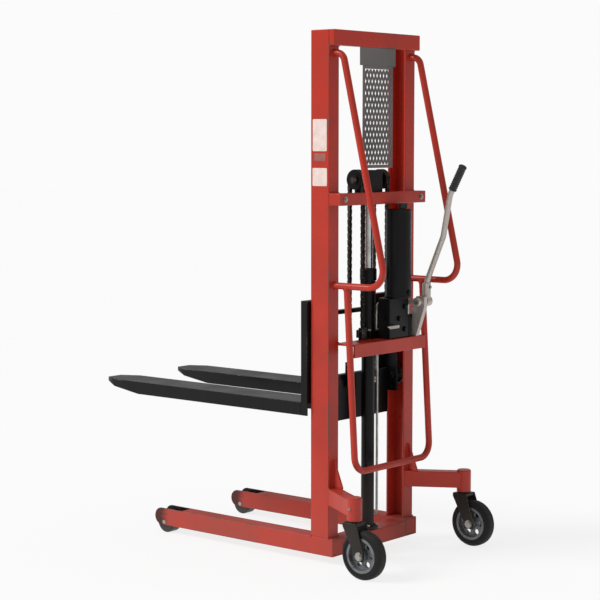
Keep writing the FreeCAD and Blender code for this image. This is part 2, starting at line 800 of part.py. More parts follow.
def make_ram():
    """The ram with its piston, and the crosshead with an axle that carries two sheaves."""
    y = "-dims.ram_inset"
    foot = f"{RAM_TOP} - dims.ram_length"
    shaft = rod("z", "dims.ram_radius", "dims.ram_length", "0", y, foot)
    piston = rod("z", "dims.barrel_bore - dims.running_fit", "dims.piston_height", "0", y, foot)
    node("ram_rod", fuse(shaft, piston))

    block = box("dims.crosshead_width", "dims.crosshead_depth", "dims.crosshead_height",
                "-dims.crosshead_width / 2", f"{y} - dims.crosshead_depth / 2", RAM_TOP)
    hole = rod("x", "dims.sheave_axle_radius", "dims.crosshead_width",
               "-dims.crosshead_width / 2", y, SHEAVE_Z)
    node("crosshead", cut(block, hole))

    sheave_end = "(dims.sheave_spread / 2 + dims.sheave_width / 2 + dims.hair_gap)"
    sheave_start = "(dims.sheave_spread / 2 - dims.sheave_width / 2 - dims.hair_gap)"
    half = f"({sheave_end} + dims.sheave_clip_width)"
    thin, thick = "dims.sheave_axle_radius", "dims.sheave_collar_radius"
    axle = [
        ("0", "0"),
        (f"2 * {half}", "0"),
        (f"2 * {half}", thick),
        (f"{half} + {sheave_end}", thick),
        (f"{half} + {sheave_end}", thin),
        (f"{half} + {sheave_start}", thin),
        (f"{half} + {sheave_start}", thick),
        (f"{half} + dims.crosshead_width / 2", thick),
        (f"{half} + dims.crosshead_width / 2", thin),
        (f"{half} - dims.crosshead_width / 2", thin),
        (f"{half} - dims.crosshead_width / 2", thick),
        (f"{half} - {sheave_start}", thick),
        (f"{half} - {sheave_start}", thin),
        ("dims.sheave_clip_width", thin),
        ("dims.sheave_clip_width", thick),
        ("0", thick),
    ]
    node("sheave_axle", turned("x", axle, f"-{half}", y, SHEAVE_Z))

    width, flange = "dims.sheave_width", "dims.sheave_flange"
    bore = f"{thin} + dims.running_fit"
    sheave = [
        ("0", bore),
        (width, bore),
        (width, "dims.sheave_radius"),
        (f"{width} - {flange}", "dims.sheave_radius"),
        (f"{width} - {flange}", "dims.groove_radius"),
        (flange, "dims.groove_radius"),
        (flange, "dims.sheave_radius"),
        ("0", "dims.sheave_radius"),
    ]
    pair("sheave", turned("x", sheave, f"{CHAIN_X} - {width} / 2", y, SHEAVE_Z))


def make_chains():
    """Two leaf chains: a fall to the carriage, a turn over the sheave and a fall to the shelf."""
    low_x = f"{CHAIN_X} - dims.chain_width / 2"
    middle_y = "-dims.ram_inset"
    turn = ring("x", CHAIN_OUTER, CHAIN_INNER, "dims.chain_width", low_x, middle_y, SHEAVE_Z)
    below = box("dims.chain_width", f"2 * {CHAIN_OUTER}", CHAIN_OUTER, low_x,
                f"{middle_y} - {CHAIN_OUTER}", f"{SHEAVE_Z} - {CHAIN_OUTER}")
    over = cut(turn, below)
    node("chain_turns", group(over, mirror(over)))

    front_foot = f"({LOWER_BAR_TOP} + dims.anchor_height)"
    front = box("dims.chain_width", "dims.chain_depth", f"{SHEAVE_Z} - {front_foot}",
                low_x, f"{middle_y} - {CHAIN_OUTER}", front_foot)
    node("front_chains", group(front, mirror(front)))
    rear_foot = "(dims.shelf_level + dims.anchor_height)"
    rear = box("dims.chain_width", "dims.chain_depth", f"{SHEAVE_Z} - {rear_foot}",
               low_x, f"{middle_y} + {CHAIN_INNER}", rear_foot)
    node("rear_chains", group(rear, mirror(rear)))

    block_x = f"{CHAIN_X} - dims.anchor_width / 2"
    rear_middle = f"({middle_y} + {CHAIN_INNER} + dims.chain_depth / 2)"
    rear_anchor = box("dims.anchor_width", "dims.anchor_depth", "dims.anchor_height", block_x,
                      f"{rear_middle} - dims.anchor_depth / 2", "dims.shelf_level")
    node("rear_chain_anchors", group(rear_anchor, mirror(rear_anchor)))
    front_middle = f"({middle_y} - {CHAIN_INNER} - dims.chain_depth / 2)"
    clevis = box("dims.anchor_width", "dims.anchor_depth", "dims.anchor_height", block_x,
                 f"{front_middle} - dims.anchor_depth / 2", LOWER_BAR_TOP)
    bolt = rod("z", "dims.anchor_bolt_radius", "dims.lug_height + dims.anchor_bolt_tail",
               CHAIN_X, front_middle, f"{LUG_FOOT} - dims.anchor_bolt_tail")
    front_anchor = fuse(clevis, bolt)
    node("front_chain_anchors", group(front_anchor, mirror(front_anchor)))


def make_carriage():
    """A deep and a slim cross bar between two side plates, with chain lugs and guide rollers."""
    back, depth = CARRIAGE_BACK, "dims.carriage_bar_depth"
    bars = []
    for height, foot in (
        ("dims.lower_bar_height", f"{FORK_TOP} - dims.lower_bar_drop"),
        ("dims.upper_bar_height", f"{FORK_TOP} + dims.upper_bar_rise"),
    ):
        bars.append(box(f"2 * {CARRIAGE_HALF}", depth, height, f"-{CARRIAGE_HALF}",
                        f"-{CARRIAGE_FRONT}", foot))
    plate = box("dims.plate_thickness", "dims.side_plate_reach", "dims.side_plate_height",
                f"{SIDE_PLATE_OUTER} - dims.plate_thickness", f"-{CARRIAGE_FRONT}", FORK_TOP)
    front_middle = f"(dims.ram_inset + {CHAIN_INNER} + dims.chain_depth / 2)"
    lug_back = f"({front_middle} - dims.anchor_depth / 2)"
    lug = box("dims.anchor_width", f"{back} - {lug_back}", "dims.lug_height",
              f"{CHAIN_X} - dims.anchor_width / 2", f"-{back}", LUG_FOOT)
    lug_hole = rod("z", "dims.anchor_bolt_radius", "dims.lug_height", CHAIN_X,
                   f"-{front_middle}", LUG_FOOT)
    roller_y = "-dims.column_depth / 2"
    levels = {"lower": "dims.guide_roller_low", "upper": "dims.guide_roller_high"}
    width, radius = "dims.guide_roller_width", GUIDE_RADIUS
    bore = "dims.guide_axle_radius + dims.running_fit"
    roller = [("0", bore), (width, bore), (width, radius), ("0", radius)]
    roller_start = f"({GUIDE_X} - {width})"
    axle_start = f"({SIDE_PLATE_OUTER} - dims.plate_thickness - dims.guide_axle_tail)"
    spacer_from = f"({SIDE_PLATE_OUTER} - {axle_start})"
    spacer_to = f"({roller_start} - dims.hair_gap - {axle_start})"
    end = f"({GUIDE_X} - {axle_start})"
    thin, thick = "dims.guide_axle_radius", "dims.guide_spacer_radius"
    axle = [
        ("0", "0"),
        (end, "0"),
        (end, thin),
        (spacer_to, thin),
        (spacer_to, thick),
        (spacer_from, thick),
        (spacer_from, thin),
        ("0", thin),
    ]
    axles = []
    for name, level in levels.items():
        z = f"{FORK_TOP} + {level}"
        pair(f"{name}_guide_roller", turned("x", roller, roller_start, roller_y, z))
        axles.append(turned("x", axle, axle_start, roller_y, z))
    left = cut(fuse(plate, lug, *axles), lug_hole)
    node("carriage_frame", fuse(*bars, left, mirror(left)))


def make_forks():
    """Fork blades and their shanks, both hollow beneath so that they close over the legs."""
    width, height, wall = "dims.fork_width", "dims.fork_height", "dims.fork_wall"
    length = "dims.fork_length"
    x = f"(dims.fork_spread / 2 - {width} / 2)"
    tip_y = f"-{FRONT_REACH}"
    foot = f"({FORK_TOP} - {height})"
    side = [
        ("0", f"{height} - dims.fork_tip_height"),
        ("dims.fork_taper", "0"),
        (length, "0"),
        (length, height),
        ("0", height),
    ]
    nose_inset = f"({width} - dims.fork_tip_width) / 2"
    plan = [
        (nose_inset, "0"),
        (f"{width} - {nose_inset}", "0"),
        (width, "dims.fork_nose"),
        (width, length),
        ("0", length),
        ("0", "dims.fork_nose"),
    ]
    bar = doc.addObject("Part::MultiCommon", "blade")
    bar.Shapes = [
        padded("YZ_Plane", side, width, x, tip_y, foot),
        padded("XY_Plane", plan, height, x, tip_y, foot),
    ]
    hollow = box(f"{width} - 2 * {wall}", f"{length} - dims.fork_solid_tip", f"{height} - {wall}",
                 f"{x} + {wall}", f"{tip_y} + dims.fork_solid_tip", foot)
    pair("fork", cut(bar, hollow))
    shank_y = f"-{CARRIAGE_FRONT} - dims.shank_thickness"
    shank = box(width, "dims.shank_thickness", f"{height} + dims.shank_height", x, shank_y, foot)
    archway = box(f"{width} - 2 * {wall}", "dims.shank_thickness", f"{height} - {wall}",
                  f"{x} + {wall}", shank_y, foot)
    pair("fork_shank", cut(shank, archway))


def make_pump():
    """The pump block on its shelf, plunger, reservoir, pressure pipe and release valve."""
    low_x = "-(dims.pump_offset + dims.pump_width / 2)"
    block = box("dims.pump_width", "dims.pump_depth", "dims.pump_height", low_x,
                "dims.pump_setback", "dims.shelf_level")
    barrel = rod("z", "dims.plunger_radius + dims.plunger_wall", "dims.plunger_barrel_height",
                 PLUNGER_X, PLUNGER_Y, "dims.shelf_level")
    bore = rod("z", "dims.plunger_radius + dims.running_fit",
               "dims.plunger_barrel_height - dims.plunger_floor",
               PLUNGER_X, PLUNGER_Y, "dims.shelf_level + dims.plunger_floor")
    valve_x, valve_z = "-dims.valve_offset", "(dims.shelf_level + dims.valve_rise)"
    seat_y = f"({PUMP_BACK} - dims.valve_stem_seat)"
    seat = rod("y", "dims.valve_stem_radius + dims.running_fit", "dims.valve_stem_seat",
               valve_x, seat_y, valve_z)
    node("pump_block", cut(fuse(block, barrel), bore, seat))

    cap_foot = f"({PLUNGER_TOP} - dims.plunger_cap_height)"
    plunger_foot = "(dims.shelf_level + dims.plunger_floor + dims.plunger_rest_gap)"
    stem = rod("z", "dims.plunger_radius", f"{cap_foot} - {plunger_foot}",
               PLUNGER_X, PLUNGER_Y, plunger_foot)
    cap = rod("z", "dims.plunger_cap_radius", "dims.plunger_cap_height",
              PLUNGER_X, PLUNGER_Y, cap_foot)
    node("pump_plunger", fuse(stem, cap))

    tank_x, tank_y = "-dims.pump_offset", "dims.reservoir_setback"
    tank_top = f"({PUMP_TOP} + dims.reservoir_height)"
    filler_y = f"({tank_y} + dims.filler_back)"
    tank = rod("z", "dims.reservoir_radius", "dims.reservoir_height", tank_x, tank_y, PUMP_TOP)
    inside = rod("z", "dims.reservoir_radius - dims.reservoir_wall",
                 "dims.reservoir_height - 2 * dims.reservoir_wall", tank_x, tank_y,
                 f"{PUMP_TOP} + dims.reservoir_wall")
    filler_hole = rod("z", "dims.filler_bore", "2 * dims.reservoir_wall", tank_x, filler_y,
                      f"{tank_top} - 2 * dims.reservoir_wall")
    node("oil_reservoir", cut(tank, inside, filler_hole))
    node("filler_cap", rod("z", "dims.filler_radius", "dims.filler_height", tank_x, filler_y,
                           tank_top))

    pipe_z = "dims.shelf_level + dims.pipe_top_rise"
    foot_z = f"{BARREL_FOOT} + dims.pipe_foot_rise"
    route = [
        vector("-dims.pipe_offset", "dims.pump_setback", pipe_z),
        vector("-dims.pipe_offset", "-dims.ram_inset", pipe_z),
        vector("-dims.pipe_offset", "-dims.ram_inset", foot_z),
        vector("-dims.barrel_radius", "-dims.ram_inset", foot_z),
    ]
    bends = [value("dims.pipe_bend")] * 2
    node("pressure_pipe", shaped(swept(route, bends, value("dims.pipe_radius"))))

    valve_stem = rod("y", "dims.valve_stem_radius",
                     "dims.valve_stem_seat + dims.valve_stem_reach", valve_x, seat_y, valve_z)
    bar = box("dims.valve_bar_length", "dims.valve_bar_depth", "dims.valve_bar_height",
              f"{valve_x} - dims.valve_bar_height / 2", f"{PUMP_BACK} + dims.valve_stem_reach",
              f"{valve_z} - dims.valve_bar_height / 2")
    node("release_lever", fuse(valve_stem, bar))


def make_lever():
    """The bracket, the rocker that turns in it, and the cranked pump lever with its grip."""
    y, z = "dims.lever_setback", PIVOT_Z
    hub_inner = "(dims.lever_offset - dims.lever_hub_width / 2)"
    hub_outer = "(dims.lever_offset + dims.lever_hub_width / 2)"
    arm_low = f"({PLUNGER_X} - dims.rocker_arm_width / 2)"
    arm_high = f"({PLUNGER_X} + dims.rocker_arm_width / 2)"
    shaft = rod("x", "dims.rocker_radius", f"{hub_outer} + {arm_high}", f"-{hub_outer}", y, z)
    boss = rod("x", "dims.rocker_boss_radius", "dims.rocker_arm_width", arm_low, y, z)
    arm = box("dims.rocker_arm_width", "dims.rocker_arm_length",
              "2 * dims.rocker_nose_radius", arm_low, PLUNGER_Y, f"{z} - dims.rocker_nose_radius")
    nose = rod("x", "dims.rocker_nose_radius", "dims.rocker_arm_width", arm_low, PLUNGER_Y, z)
    hub = rod("x", "dims.lever_hub_radius", "dims.lever_hub_width", f"-{hub_outer}", y, z)
    sleeve = rod("z", "dims.lever_sleeve_radius", "dims.lever_sleeve_height",
                 "-dims.lever_offset", y, z)
    bar_foot = f"({z} + dims.lever_sleeve_floor)"
    socket = rod("z", "dims.lever_radius", "dims.lever_sleeve_height - dims.lever_sleeve_floor",
                 "-dims.lever_offset", y, bar_foot)
    node("pump_rocker", cut(fuse(shaft, boss, arm, nose, hub, sleeve), socket))

    bracket_x = f"-({hub_inner} - dims.bracket_gap)"
    head = "dims.bracket_head / 2"
    foot_back = "dims.shelf_depth"
    foot_front = f"({foot_back} - dims.bracket_foot)"
    side = [
        ("0", "0"),
        ("dims.bracket_foot", "0"),
        (f"{y} + {head} - {foot_front}", f"dims.lever_pivot_rise - {head}"),
        (f"{y} + {head} - {foot_front}", f"dims.lever_pivot_rise + {head}"),
        (f"{y} - {head} - {foot_front}", f"dims.lever_pivot_rise + {head}"),
        ("0", "dims.lever_pivot_rise / 2"),
    ]
    plate = padded("YZ_Plane", side, "dims.bracket_width", bracket_x, foot_front, "dims.shelf_level")
    bearing = rod("x", "dims.rocker_radius + dims.running_fit", "dims.bracket_width",
                  bracket_x, y, z)
    node("lever_bracket", cut(plate, bearing))

    x = "-dims.lever_offset"
    path = [
        vector(x, y, bar_foot),
        vector(x, y, f"{z} + dims.lever_sleeve_height"),
        vector(x, f"{y} + dims.lever_elbow_back", f"{z} + dims.lever_elbow_rise"),
        vector(x, f"{y} + dims.lever_neck_back", f"{z} + dims.lever_neck_rise"),
        vector(x, f"{y} + dims.lever_top_back", f"{z} + dims.lever_top_rise"),
    ]
    radius = value("dims.lever_radius")
    bends = [value("dims.lever_bend")] * 3
    node("pump_lever", shaped(tube(path, bends, radius, value("dims.lever_wall"))))

    tip = path[-1]
    direction = (tip - path[-2]).normalize()
    grip_length, end = value("dims.grip_length"), value("dims.grip_end")
    foot = tip - direction * (grip_length - end)
    sleeve_shape = Part.makeCylinder(value("dims.grip_radius"), grip_length, foot, direction)
    core = Part.makeCylinder(radius, grip_length - end, foot, direction)
    node("lever_grip", shaped(sleeve_shape.cut(core)))


def make_bolts():
    """Hexagonal heads on the cylinder's foot, the clamp and the upper tie."""
    heads = []
    bolt_circle = "(dims.barrel_radius + dims.foot_radius) / 2 * sqrt(2) / 2"
    foot_top = f"{BARREL_FOOT} + dims.foot_height"
    for side_x in ("-", ""):
        for side_y in ("-", "+"):
            heads.append(hex_head("z", f"{side_x}{bolt_circle}",
                                  f"{side_y}{bolt_circle} - dims.ram_inset", foot_top))
    for side_x in ("-", ""):
        clamp_x = f"{side_x}(dims.clamp_half_width - dims.bolt_radius)"
        heads.append(hex_head("z", clamp_x, "dims.clamp_tail - dims.bolt_radius",
                              "dims.shelf_level + dims.clamp_height"))
        tie_x = f"{side_x}{COLUMN_X}"
        heads.append(hex_head("y", tie_x, "dims.upper_tie_setback + dims.upper_tie_depth",
                              "dims.upper_tie_level + dims.upper_tie_height / 2"))
    node("frame_bolts", group(*heads))


make_mast()
make_legs()
make_outriggers()
make_casters()
make_handles()
make_mesh_guard()
make_cylinder()
make_ram()
make_chains()
make_carriage()
make_forks()
make_pump()
make_lever()
make_bolts()
doc.recompute()

# Every object has to have built, and every sub-part to be a valid solid, before any is written.
for item in doc.Objects:
    if "Invalid" in item.State or "Error" in item.State:
        raise RuntimeError(f"{item.Label} failed to build: {item.State}")
for label, piece in nodes.items():
    shape = piece.Shape
    if shape.isNull() or not shape.isValid() or not shape.Solids:
        raise RuntimeError(f"{label} has no valid solid")

os.makedirs("parts", exist_ok=True)
for label, piece in nodes.items():
    piece.Shape.exportStep(f"parts/{label}.step")
print("sub-parts", len(nodes))
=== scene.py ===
import json
import math

import bmesh
import bpy
from mathutils import Matrix, Vector


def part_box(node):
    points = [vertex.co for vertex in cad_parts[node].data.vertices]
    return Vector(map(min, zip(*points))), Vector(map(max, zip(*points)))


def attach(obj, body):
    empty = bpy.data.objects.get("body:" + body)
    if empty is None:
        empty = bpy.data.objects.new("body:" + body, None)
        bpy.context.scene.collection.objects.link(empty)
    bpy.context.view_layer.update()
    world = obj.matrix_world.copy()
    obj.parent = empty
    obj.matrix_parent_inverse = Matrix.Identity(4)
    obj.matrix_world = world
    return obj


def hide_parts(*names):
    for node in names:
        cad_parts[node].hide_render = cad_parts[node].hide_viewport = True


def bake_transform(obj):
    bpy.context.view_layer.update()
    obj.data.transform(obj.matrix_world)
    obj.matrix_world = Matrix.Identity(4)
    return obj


# Hand pallet stacker: red enamelled mast, legs and handles, black lift gear and forks.
# Metres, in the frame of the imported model; sizes are written in millimetres times MM.

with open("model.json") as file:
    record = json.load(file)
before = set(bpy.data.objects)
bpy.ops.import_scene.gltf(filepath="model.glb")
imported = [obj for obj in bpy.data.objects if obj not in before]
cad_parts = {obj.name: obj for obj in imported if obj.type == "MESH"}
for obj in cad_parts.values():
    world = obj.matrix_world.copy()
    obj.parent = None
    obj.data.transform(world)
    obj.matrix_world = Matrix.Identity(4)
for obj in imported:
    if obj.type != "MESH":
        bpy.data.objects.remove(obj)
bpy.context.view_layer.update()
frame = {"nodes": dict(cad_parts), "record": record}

MM = 0.001
SIDES = {"left": 1, "right": -1}
BODIES = frame["record"]["behaviour"]["bodies"]
BODY_OF = {node: body for body, members in BODIES.items() for node in members}
SLOT_OF = {part["node"]: part["material_slot"] for part in frame["record"]["subparts"]}
X_AXIS = Vector((1, 0, 0))
Y_AXIS = Vector((0, 1, 0))
Z_AXIS = Vector((0, 0, 1))

# Edges that turn by more than SHARP are corners; faces that turn by less than FLAT are one face
SHARP, FLAT = math.radians(35), math.radians(1)


def middle_of(node):
    """The middle of a node's box."""
    low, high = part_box(node)
    return (low + high) / 2


# Places and sizes that several pieces share
COLUMN_LOW, COLUMN_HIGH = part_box("left_column")
REAR = COLUMN_HIGH.y
COLUMN_X = (COLUMN_LOW.x + COLUMN_HIGH.x) / 2
CHAIN_X = middle_of("left_sheave").x
LEVER_X = middle_of("pump_lever").x
PLUNGER = middle_of("pump_plunger")
ARM_FOOT, ARM_HEIGHT = 226 * MM, 62 * MM
ARM_TOP = ARM_FOOT + ARM_HEIGHT
GUSSET_THICK = 8 * MM
PIN_DROP = 11 * MM
# The housing's radius is in millimetres, as turned profiles are
HOUSING_RADIUS = 28
CHAIN_LANES = 8


# Materials
# Peel, grain, rings and draw lines are drawn coarser than they really are, so that they show.

def linear(hex_colour):
    """An sRGB hex colour as linear red, green, blue and alpha."""
    shares = [int(hex_colour[start:start + 2], 16) / 255 for start in (1, 3, 5)]
    return [s / 12.92 if s <= 0.04045 else ((s + 0.055) / 1.055) ** 2.4 for s in shares] + [1]


def per_metre(size_mm):
    """The texture scale at which one feature is about this many millimetres across."""
    return 1 / (size_mm * MM)


def new_material(name, **sockets):
    """A material with its surface shader; values that are the same all over go on its sockets."""
    material = bpy.data.materials.new(name)
    material.use_nodes = True
    shader = material.node_tree.nodes["Principled BSDF"]
    plug(material, shader, {key.replace("_", " "): value for key, value in sockets.items()})
    return material, shader


def plug(owner, node, inputs):
    """Sets a node's inputs: an output is linked, anything else is written as a value."""
    for key, value in inputs.items():
        if isinstance(value, bpy.types.NodeSocket):
            owner.node_tree.links.new(value, node.inputs[key])
        else:
            node.inputs[key].default_value = value


def add(owner, kind, inputs, output=0, **settings):
    """Adds a shader node, with its settings and links, to a material or the world.

    Returns one of the node's outputs.
    """
    node = owner.node_tree.nodes.new(f"ShaderNode{kind}")
    for key, value in settings.items():
        setattr(node, key, value)
    plug(owner, node, inputs)
    return node.outputs[output]


# A Mix node that mixes colours: its setting and output, and the numbers of both colour inputs
MIX_COLOURS = {"output": 2, "data_type": "RGBA"}
MIX_A, MIX_B = 6, 7


def sprayed_enamel(name, colour, faded, gloss, stretch, scuff_from, specular=0.35, toe=None):
    """Enamel sprayed on welded steel: glossy, with a faint orange peel, slightly faded patches,
    chips down to dull steel on the edges, scuffs along the piece and dust near the floor.
    Where a toe is given, the paint's front end is blackened by the roller's grease."""
    peel_mm, flake_mm, streak_mm, patch_mm = 6, 6, 14, 170
    dust_height = 420 * MM
    chip_dulls, dust_dulls, chip_metal, chip_depth = 0.25, 1.2, 0.6, 1.5
    material, shader = new_material(name, Specular_IOR_Level=specular)
    place = add(material, "TexCoord", {}, "Object")
    patches = add(material, "TexNoise", {"Vector": place, "Scale": per_metre(patch_mm), "Detail": 4.0})
    fade = add(material, "MapRange", {"Value": patches, "From Min": 0.38, "From Max": 0.66})
    paint = add(material, "Mix",
                {"Factor": fade, MIX_A: linear(colour), MIX_B: linear(faded)}, **MIX_COLOURS)
    # Chips follow the wear that the rounded edges carry, broken up by a fine noise.
    wear = add(material, "Attribute", {}, "Fac", attribute_name="wear")
    flakes = add(material, "TexNoise",
                 {"Vector": place, "Scale": per_metre(flake_mm), "Detail": 5.0, "Roughness": 0.65})
    patchy = add(material, "Math", {0: flakes, 1: patches}, operation="ADD")
    flaked = add(material, "MapRange", {"Value": patchy, "From Min": 1.06, "From Max": 1.12})
    chips = add(material, "Math", {0: wear, 1: flaked}, operation="MULTIPLY")
    # Scuffs are long thin noise along the piece.
    along = add(material, "Mapping", {"Vector": place, "Scale": stretch})
    streaks = add(material, "TexNoise",
                  {"Vector": along, "Scale": per_metre(streak_mm), "Detail": 6.0, "Roughness": 0.7})
    scuffs = add(material, "MapRange",
                 {"Value": streaks, "From Min": scuff_from, "From Max": scuff_from + 0.1,
                  "To Max": 0.55})
    bare = add(material, "Math", {0: chips, 1: scuffs}, operation="MAXIMUM")
    steel = add(material, "Mix",
                {"Factor": flakes, MIX_A: linear("#8A7A70"), MIX_B: linear("#5E4A40")}, **MIX_COLOURS)
    worn = add(material, "Mix", {"Factor": bare, MIX_A: paint, MIX_B: steel}, **MIX_COLOURS)
    height = add(material, "SeparateXYZ", {"Vector": place}, "Z")
    low = add(material, "MapRange",
              {"Value": height, "From Min": dust_height, "From Max": 0.0, "To Max": 0.3})
    dust = add(material, "Math", {0: low, 1: patches}, operation="MULTIPLY")
    coloured = add(material, "Mix",
                   {"Factor": dust, MIX_A: worn, MIX_B: linear("#8C8076")}, **MIX_COLOURS)
    if toe is not None:
        ragged_by, grime_full, grime_end = 60 * MM, 65 * MM, 105 * MM
        forward = add(material, "SeparateXYZ", {"Vector": place}, "Y")
        ragged = add(material, "Math", {0: streaks, 1: ragged_by, 2: forward}, operation="MULTIPLY_ADD")
        grime = add(material, "MapRange",
                    {"Value": ragged, "From Min": toe + grime_end,
                     "From Max": toe + grime_full, "To Max": 0.85})
        coloured = add(material, "Mix",
                       {"Factor": grime, MIX_A: coloured, MIX_B: linear("#1E1815")}, **MIX_COLOURS)
    sheen = add(material, "MapRange", {"Value": fade, "To Min": gloss, "To Max": gloss + 0.1})
    dulled = add(material, "Math", {0: bare, 1: chip_dulls, 2: sheen}, operation="MULTIPLY_ADD")
    rough = add(material, "Math", {0: dust, 1: dust_dulls, 2: dulled}, operation="MULTIPLY_ADD")
    metal = add(material, "Math", {0: bare, 1: chip_metal}, operation="MULTIPLY")
    peel = add(material, "TexNoise", {"Vector": place, "Scale": per_metre(peel_mm), "Detail": 1.0})
    surface = add(material, "Math", {0: bare, 1: -chip_depth, 2: peel}, operation="MULTIPLY_ADD")
    bump = add(material, "Bump", {"Height": surface, "Strength": 0.12, "Distance": 0.4 * MM}, "Normal")
    plug(material, shader,
         {"Base Color": coloured, "Roughness": rough, "Metallic": metal, "Normal": bump})
    return material


def hard_chrome():
    """Ground and hard chromed bar: bright, with fine rings from grinding and a thin oil film."""
    ring_mm, film_mm = 2.5, 45
    material, shader = new_material("hard_chrome_ground", Metallic=1.0)
    place = add(material, "TexCoord", {}, "Object")
    along = add(material, "Mapping", {"Vector": place, "Scale": (0.1, 0.1, 1.0)})
    rings = add(material, "TexNoise", {"Vector": along, "Scale": per_metre(ring_mm), "Detail": 3.0})
    film = add(material, "TexNoise", {"Vector": place, "Scale": per_metre(film_mm)})
    tone = add(material, "Mix",
               {"Factor": film, MIX_A: linear("#D2D4D5"), MIX_B: linear("#A9AAA6")}, **MIX_COLOURS)
    rough = add(material, "MapRange", {"Value": film, "To Min": 0.14, "To Max": 0.34})
    bump = add(material, "Bump", {"Height": rings, "Strength": 0.05, "Distance": 0.1 * MM}, "Normal")
    plug(material, shader, {"Base Color": tone, "Roughness": rough, "Normal": bump})
    return material


def zinc_plated():
    """Bright zinc on turned and pressed steel: a cool mottled metal with duller, drier patches."""
    spangle_mm, dull_mm, grain_share = 4, 30, 0.25
    material, shader = new_material("zinc_plated_steel", Metallic=1.0)
    place = add(material, "TexCoord", {}, "Object")
    spangle = add(material, "TexVoronoi", {"Vector": place, "Scale": per_metre(spangle_mm)}, "Color")
    grain = add(material, "SeparateColor", {"Color": spangle}, "Red")
    dull = add(material, "TexNoise", {"Vector": place, "Scale": per_metre(dull_mm), "Detail": 5.0})
    tone = add(material, "Mix",
               {"Factor": dull, MIX_A: linear("#C2C0BA"), MIX_B: linear("#8E8A83")}, **MIX_COLOURS)
    both = add(material, "Math", {0: grain, 1: grain_share, 2: dull}, operation="MULTIPLY_ADD")
    rough = add(material, "MapRange",
                {"Value": both, "From Min": 0.3, "From Max": 0.9, "To Min": 0.24, "To Max": 0.5})
    bump = add(material, "Bump", {"Height": grain, "Strength": 0.05, "Distance": 0.1 * MM}, "Normal")
    plug(material, shader, {"Base Color": tone, "Roughness": rough, "Normal": bump})
    return material


def drawn_steel():
    """Bare drawn steel bar: pale satin under a thin oxide film, which mirrors little, with draw
    lines along it and brown specks of first rust."""
    line_mm, speck_mm = 2, 9
    satin_rough, rust_dulls = 0.36, 0.5
    material, shader = new_material("drawn_steel_bar", Metallic=0.42)
    place = add(material, "TexCoord", {}, "Object")
    along = add(material, "Mapping", {"Vector": place, "Scale": (1.0, 1.0, 0.05)})
    lines = add(material, "TexNoise", {"Vector": along, "Scale": per_metre(line_mm), "Detail": 2.0})
    specks = add(material, "TexNoise",
                 {"Vector": place, "Scale": per_metre(speck_mm), "Detail": 6.0, "Roughness": 0.7})
    rust = add(material, "MapRange",
               {"Value": specks, "From Min": 0.58, "From Max": 0.72, "To Max": 0.5})
    satin = add(material, "Mix",
                {"Factor": lines, MIX_A: linear("#D6CEC7"), MIX_B: linear("#B0A79F")}, **MIX_COLOURS)
    tone = add(material, "Mix", {"Factor": rust, MIX_A: satin, MIX_B: linear("#6E4A35")}, **MIX_COLOURS)
    rough = add(material, "Math", {0: rust, 1: rust_dulls, 2: satin_rough}, operation="MULTIPLY_ADD")
    bump = add(material, "Bump", {"Height": lines, "Strength": 0.1, "Distance": 0.15 * MM}, "Normal")
    plug(material, shader, {"Base Color": tone, "Roughness": rough, "Normal": bump})
    return material


def oiled_steel(name, wet, rubbed, patch_mm):
    """Steel under oil or grease: dark and wet in places, rubbed brighter or dusty in others."""
    grime_mm = 3
    material, shader = new_material(name, Metallic=0.7)
    place = add(material, "TexCoord", {}, "Object")
    patch = add(material, "TexNoise", {"Vector": place, "Scale": per_metre(patch_mm), "Detail": 4.0})
    share = add(material, "MapRange", {"Value": patch, "From Min": 0.45, "From Max": 0.7})
    tone = add(material, "Mix",
               {"Factor": share, MIX_A: linear(wet), MIX_B: linear(rubbed)}, **MIX_COLOURS)
    grime = add(material, "TexNoise", {"Vector": place, "Scale": per_metre(grime_mm)})
    rough = add(material, "MapRange", {"Value": grime, "To Min": 0.22, "To Max": 0.55})
    bump = add(material, "Bump", {"Height": grime, "Strength": 0.15, "Distance": 0.2 * MM}, "Normal")
    plug(material, shader, {"Base Color": tone, "Roughness": rough, "Normal": bump})
    return material


def cast_aluminium():
    """Die-cast aluminium: dull grey with a fine sandy skin and grime settled in patches."""
    sand_mm, grime_mm = 2, 26
    material, shader = new_material("die_cast_aluminium", Metallic=0.55)
    place = add(material, "TexCoord", {}, "Object")
    sand = add(material, "TexNoise", {"Vector": place, "Scale": per_metre(sand_mm)})
    grime = add(material, "TexNoise", {"Vector": place, "Scale": per_metre(grime_mm), "Detail": 5.0})
    dirty = add(material, "MapRange",
                {"Value": grime, "From Min": 0.45, "From Max": 0.75, "To Max": 0.6})
    tone = add(material, "Mix",
               {"Factor": dirty, MIX_A: linear("#7C7E81"), MIX_B: linear("#3D3B38")}, **MIX_COLOURS)
    rough = add(material, "MapRange", {"Value": grime, "To Min": 0.4, "To Max": 0.62})
    bump = add(material, "Bump", {"Height": sand, "Strength": 0.2, "Distance": 0.2 * MM}, "Normal")
    plug(material, shader, {"Base Color": tone, "Roughness": rough, "Normal": bump})
    return material


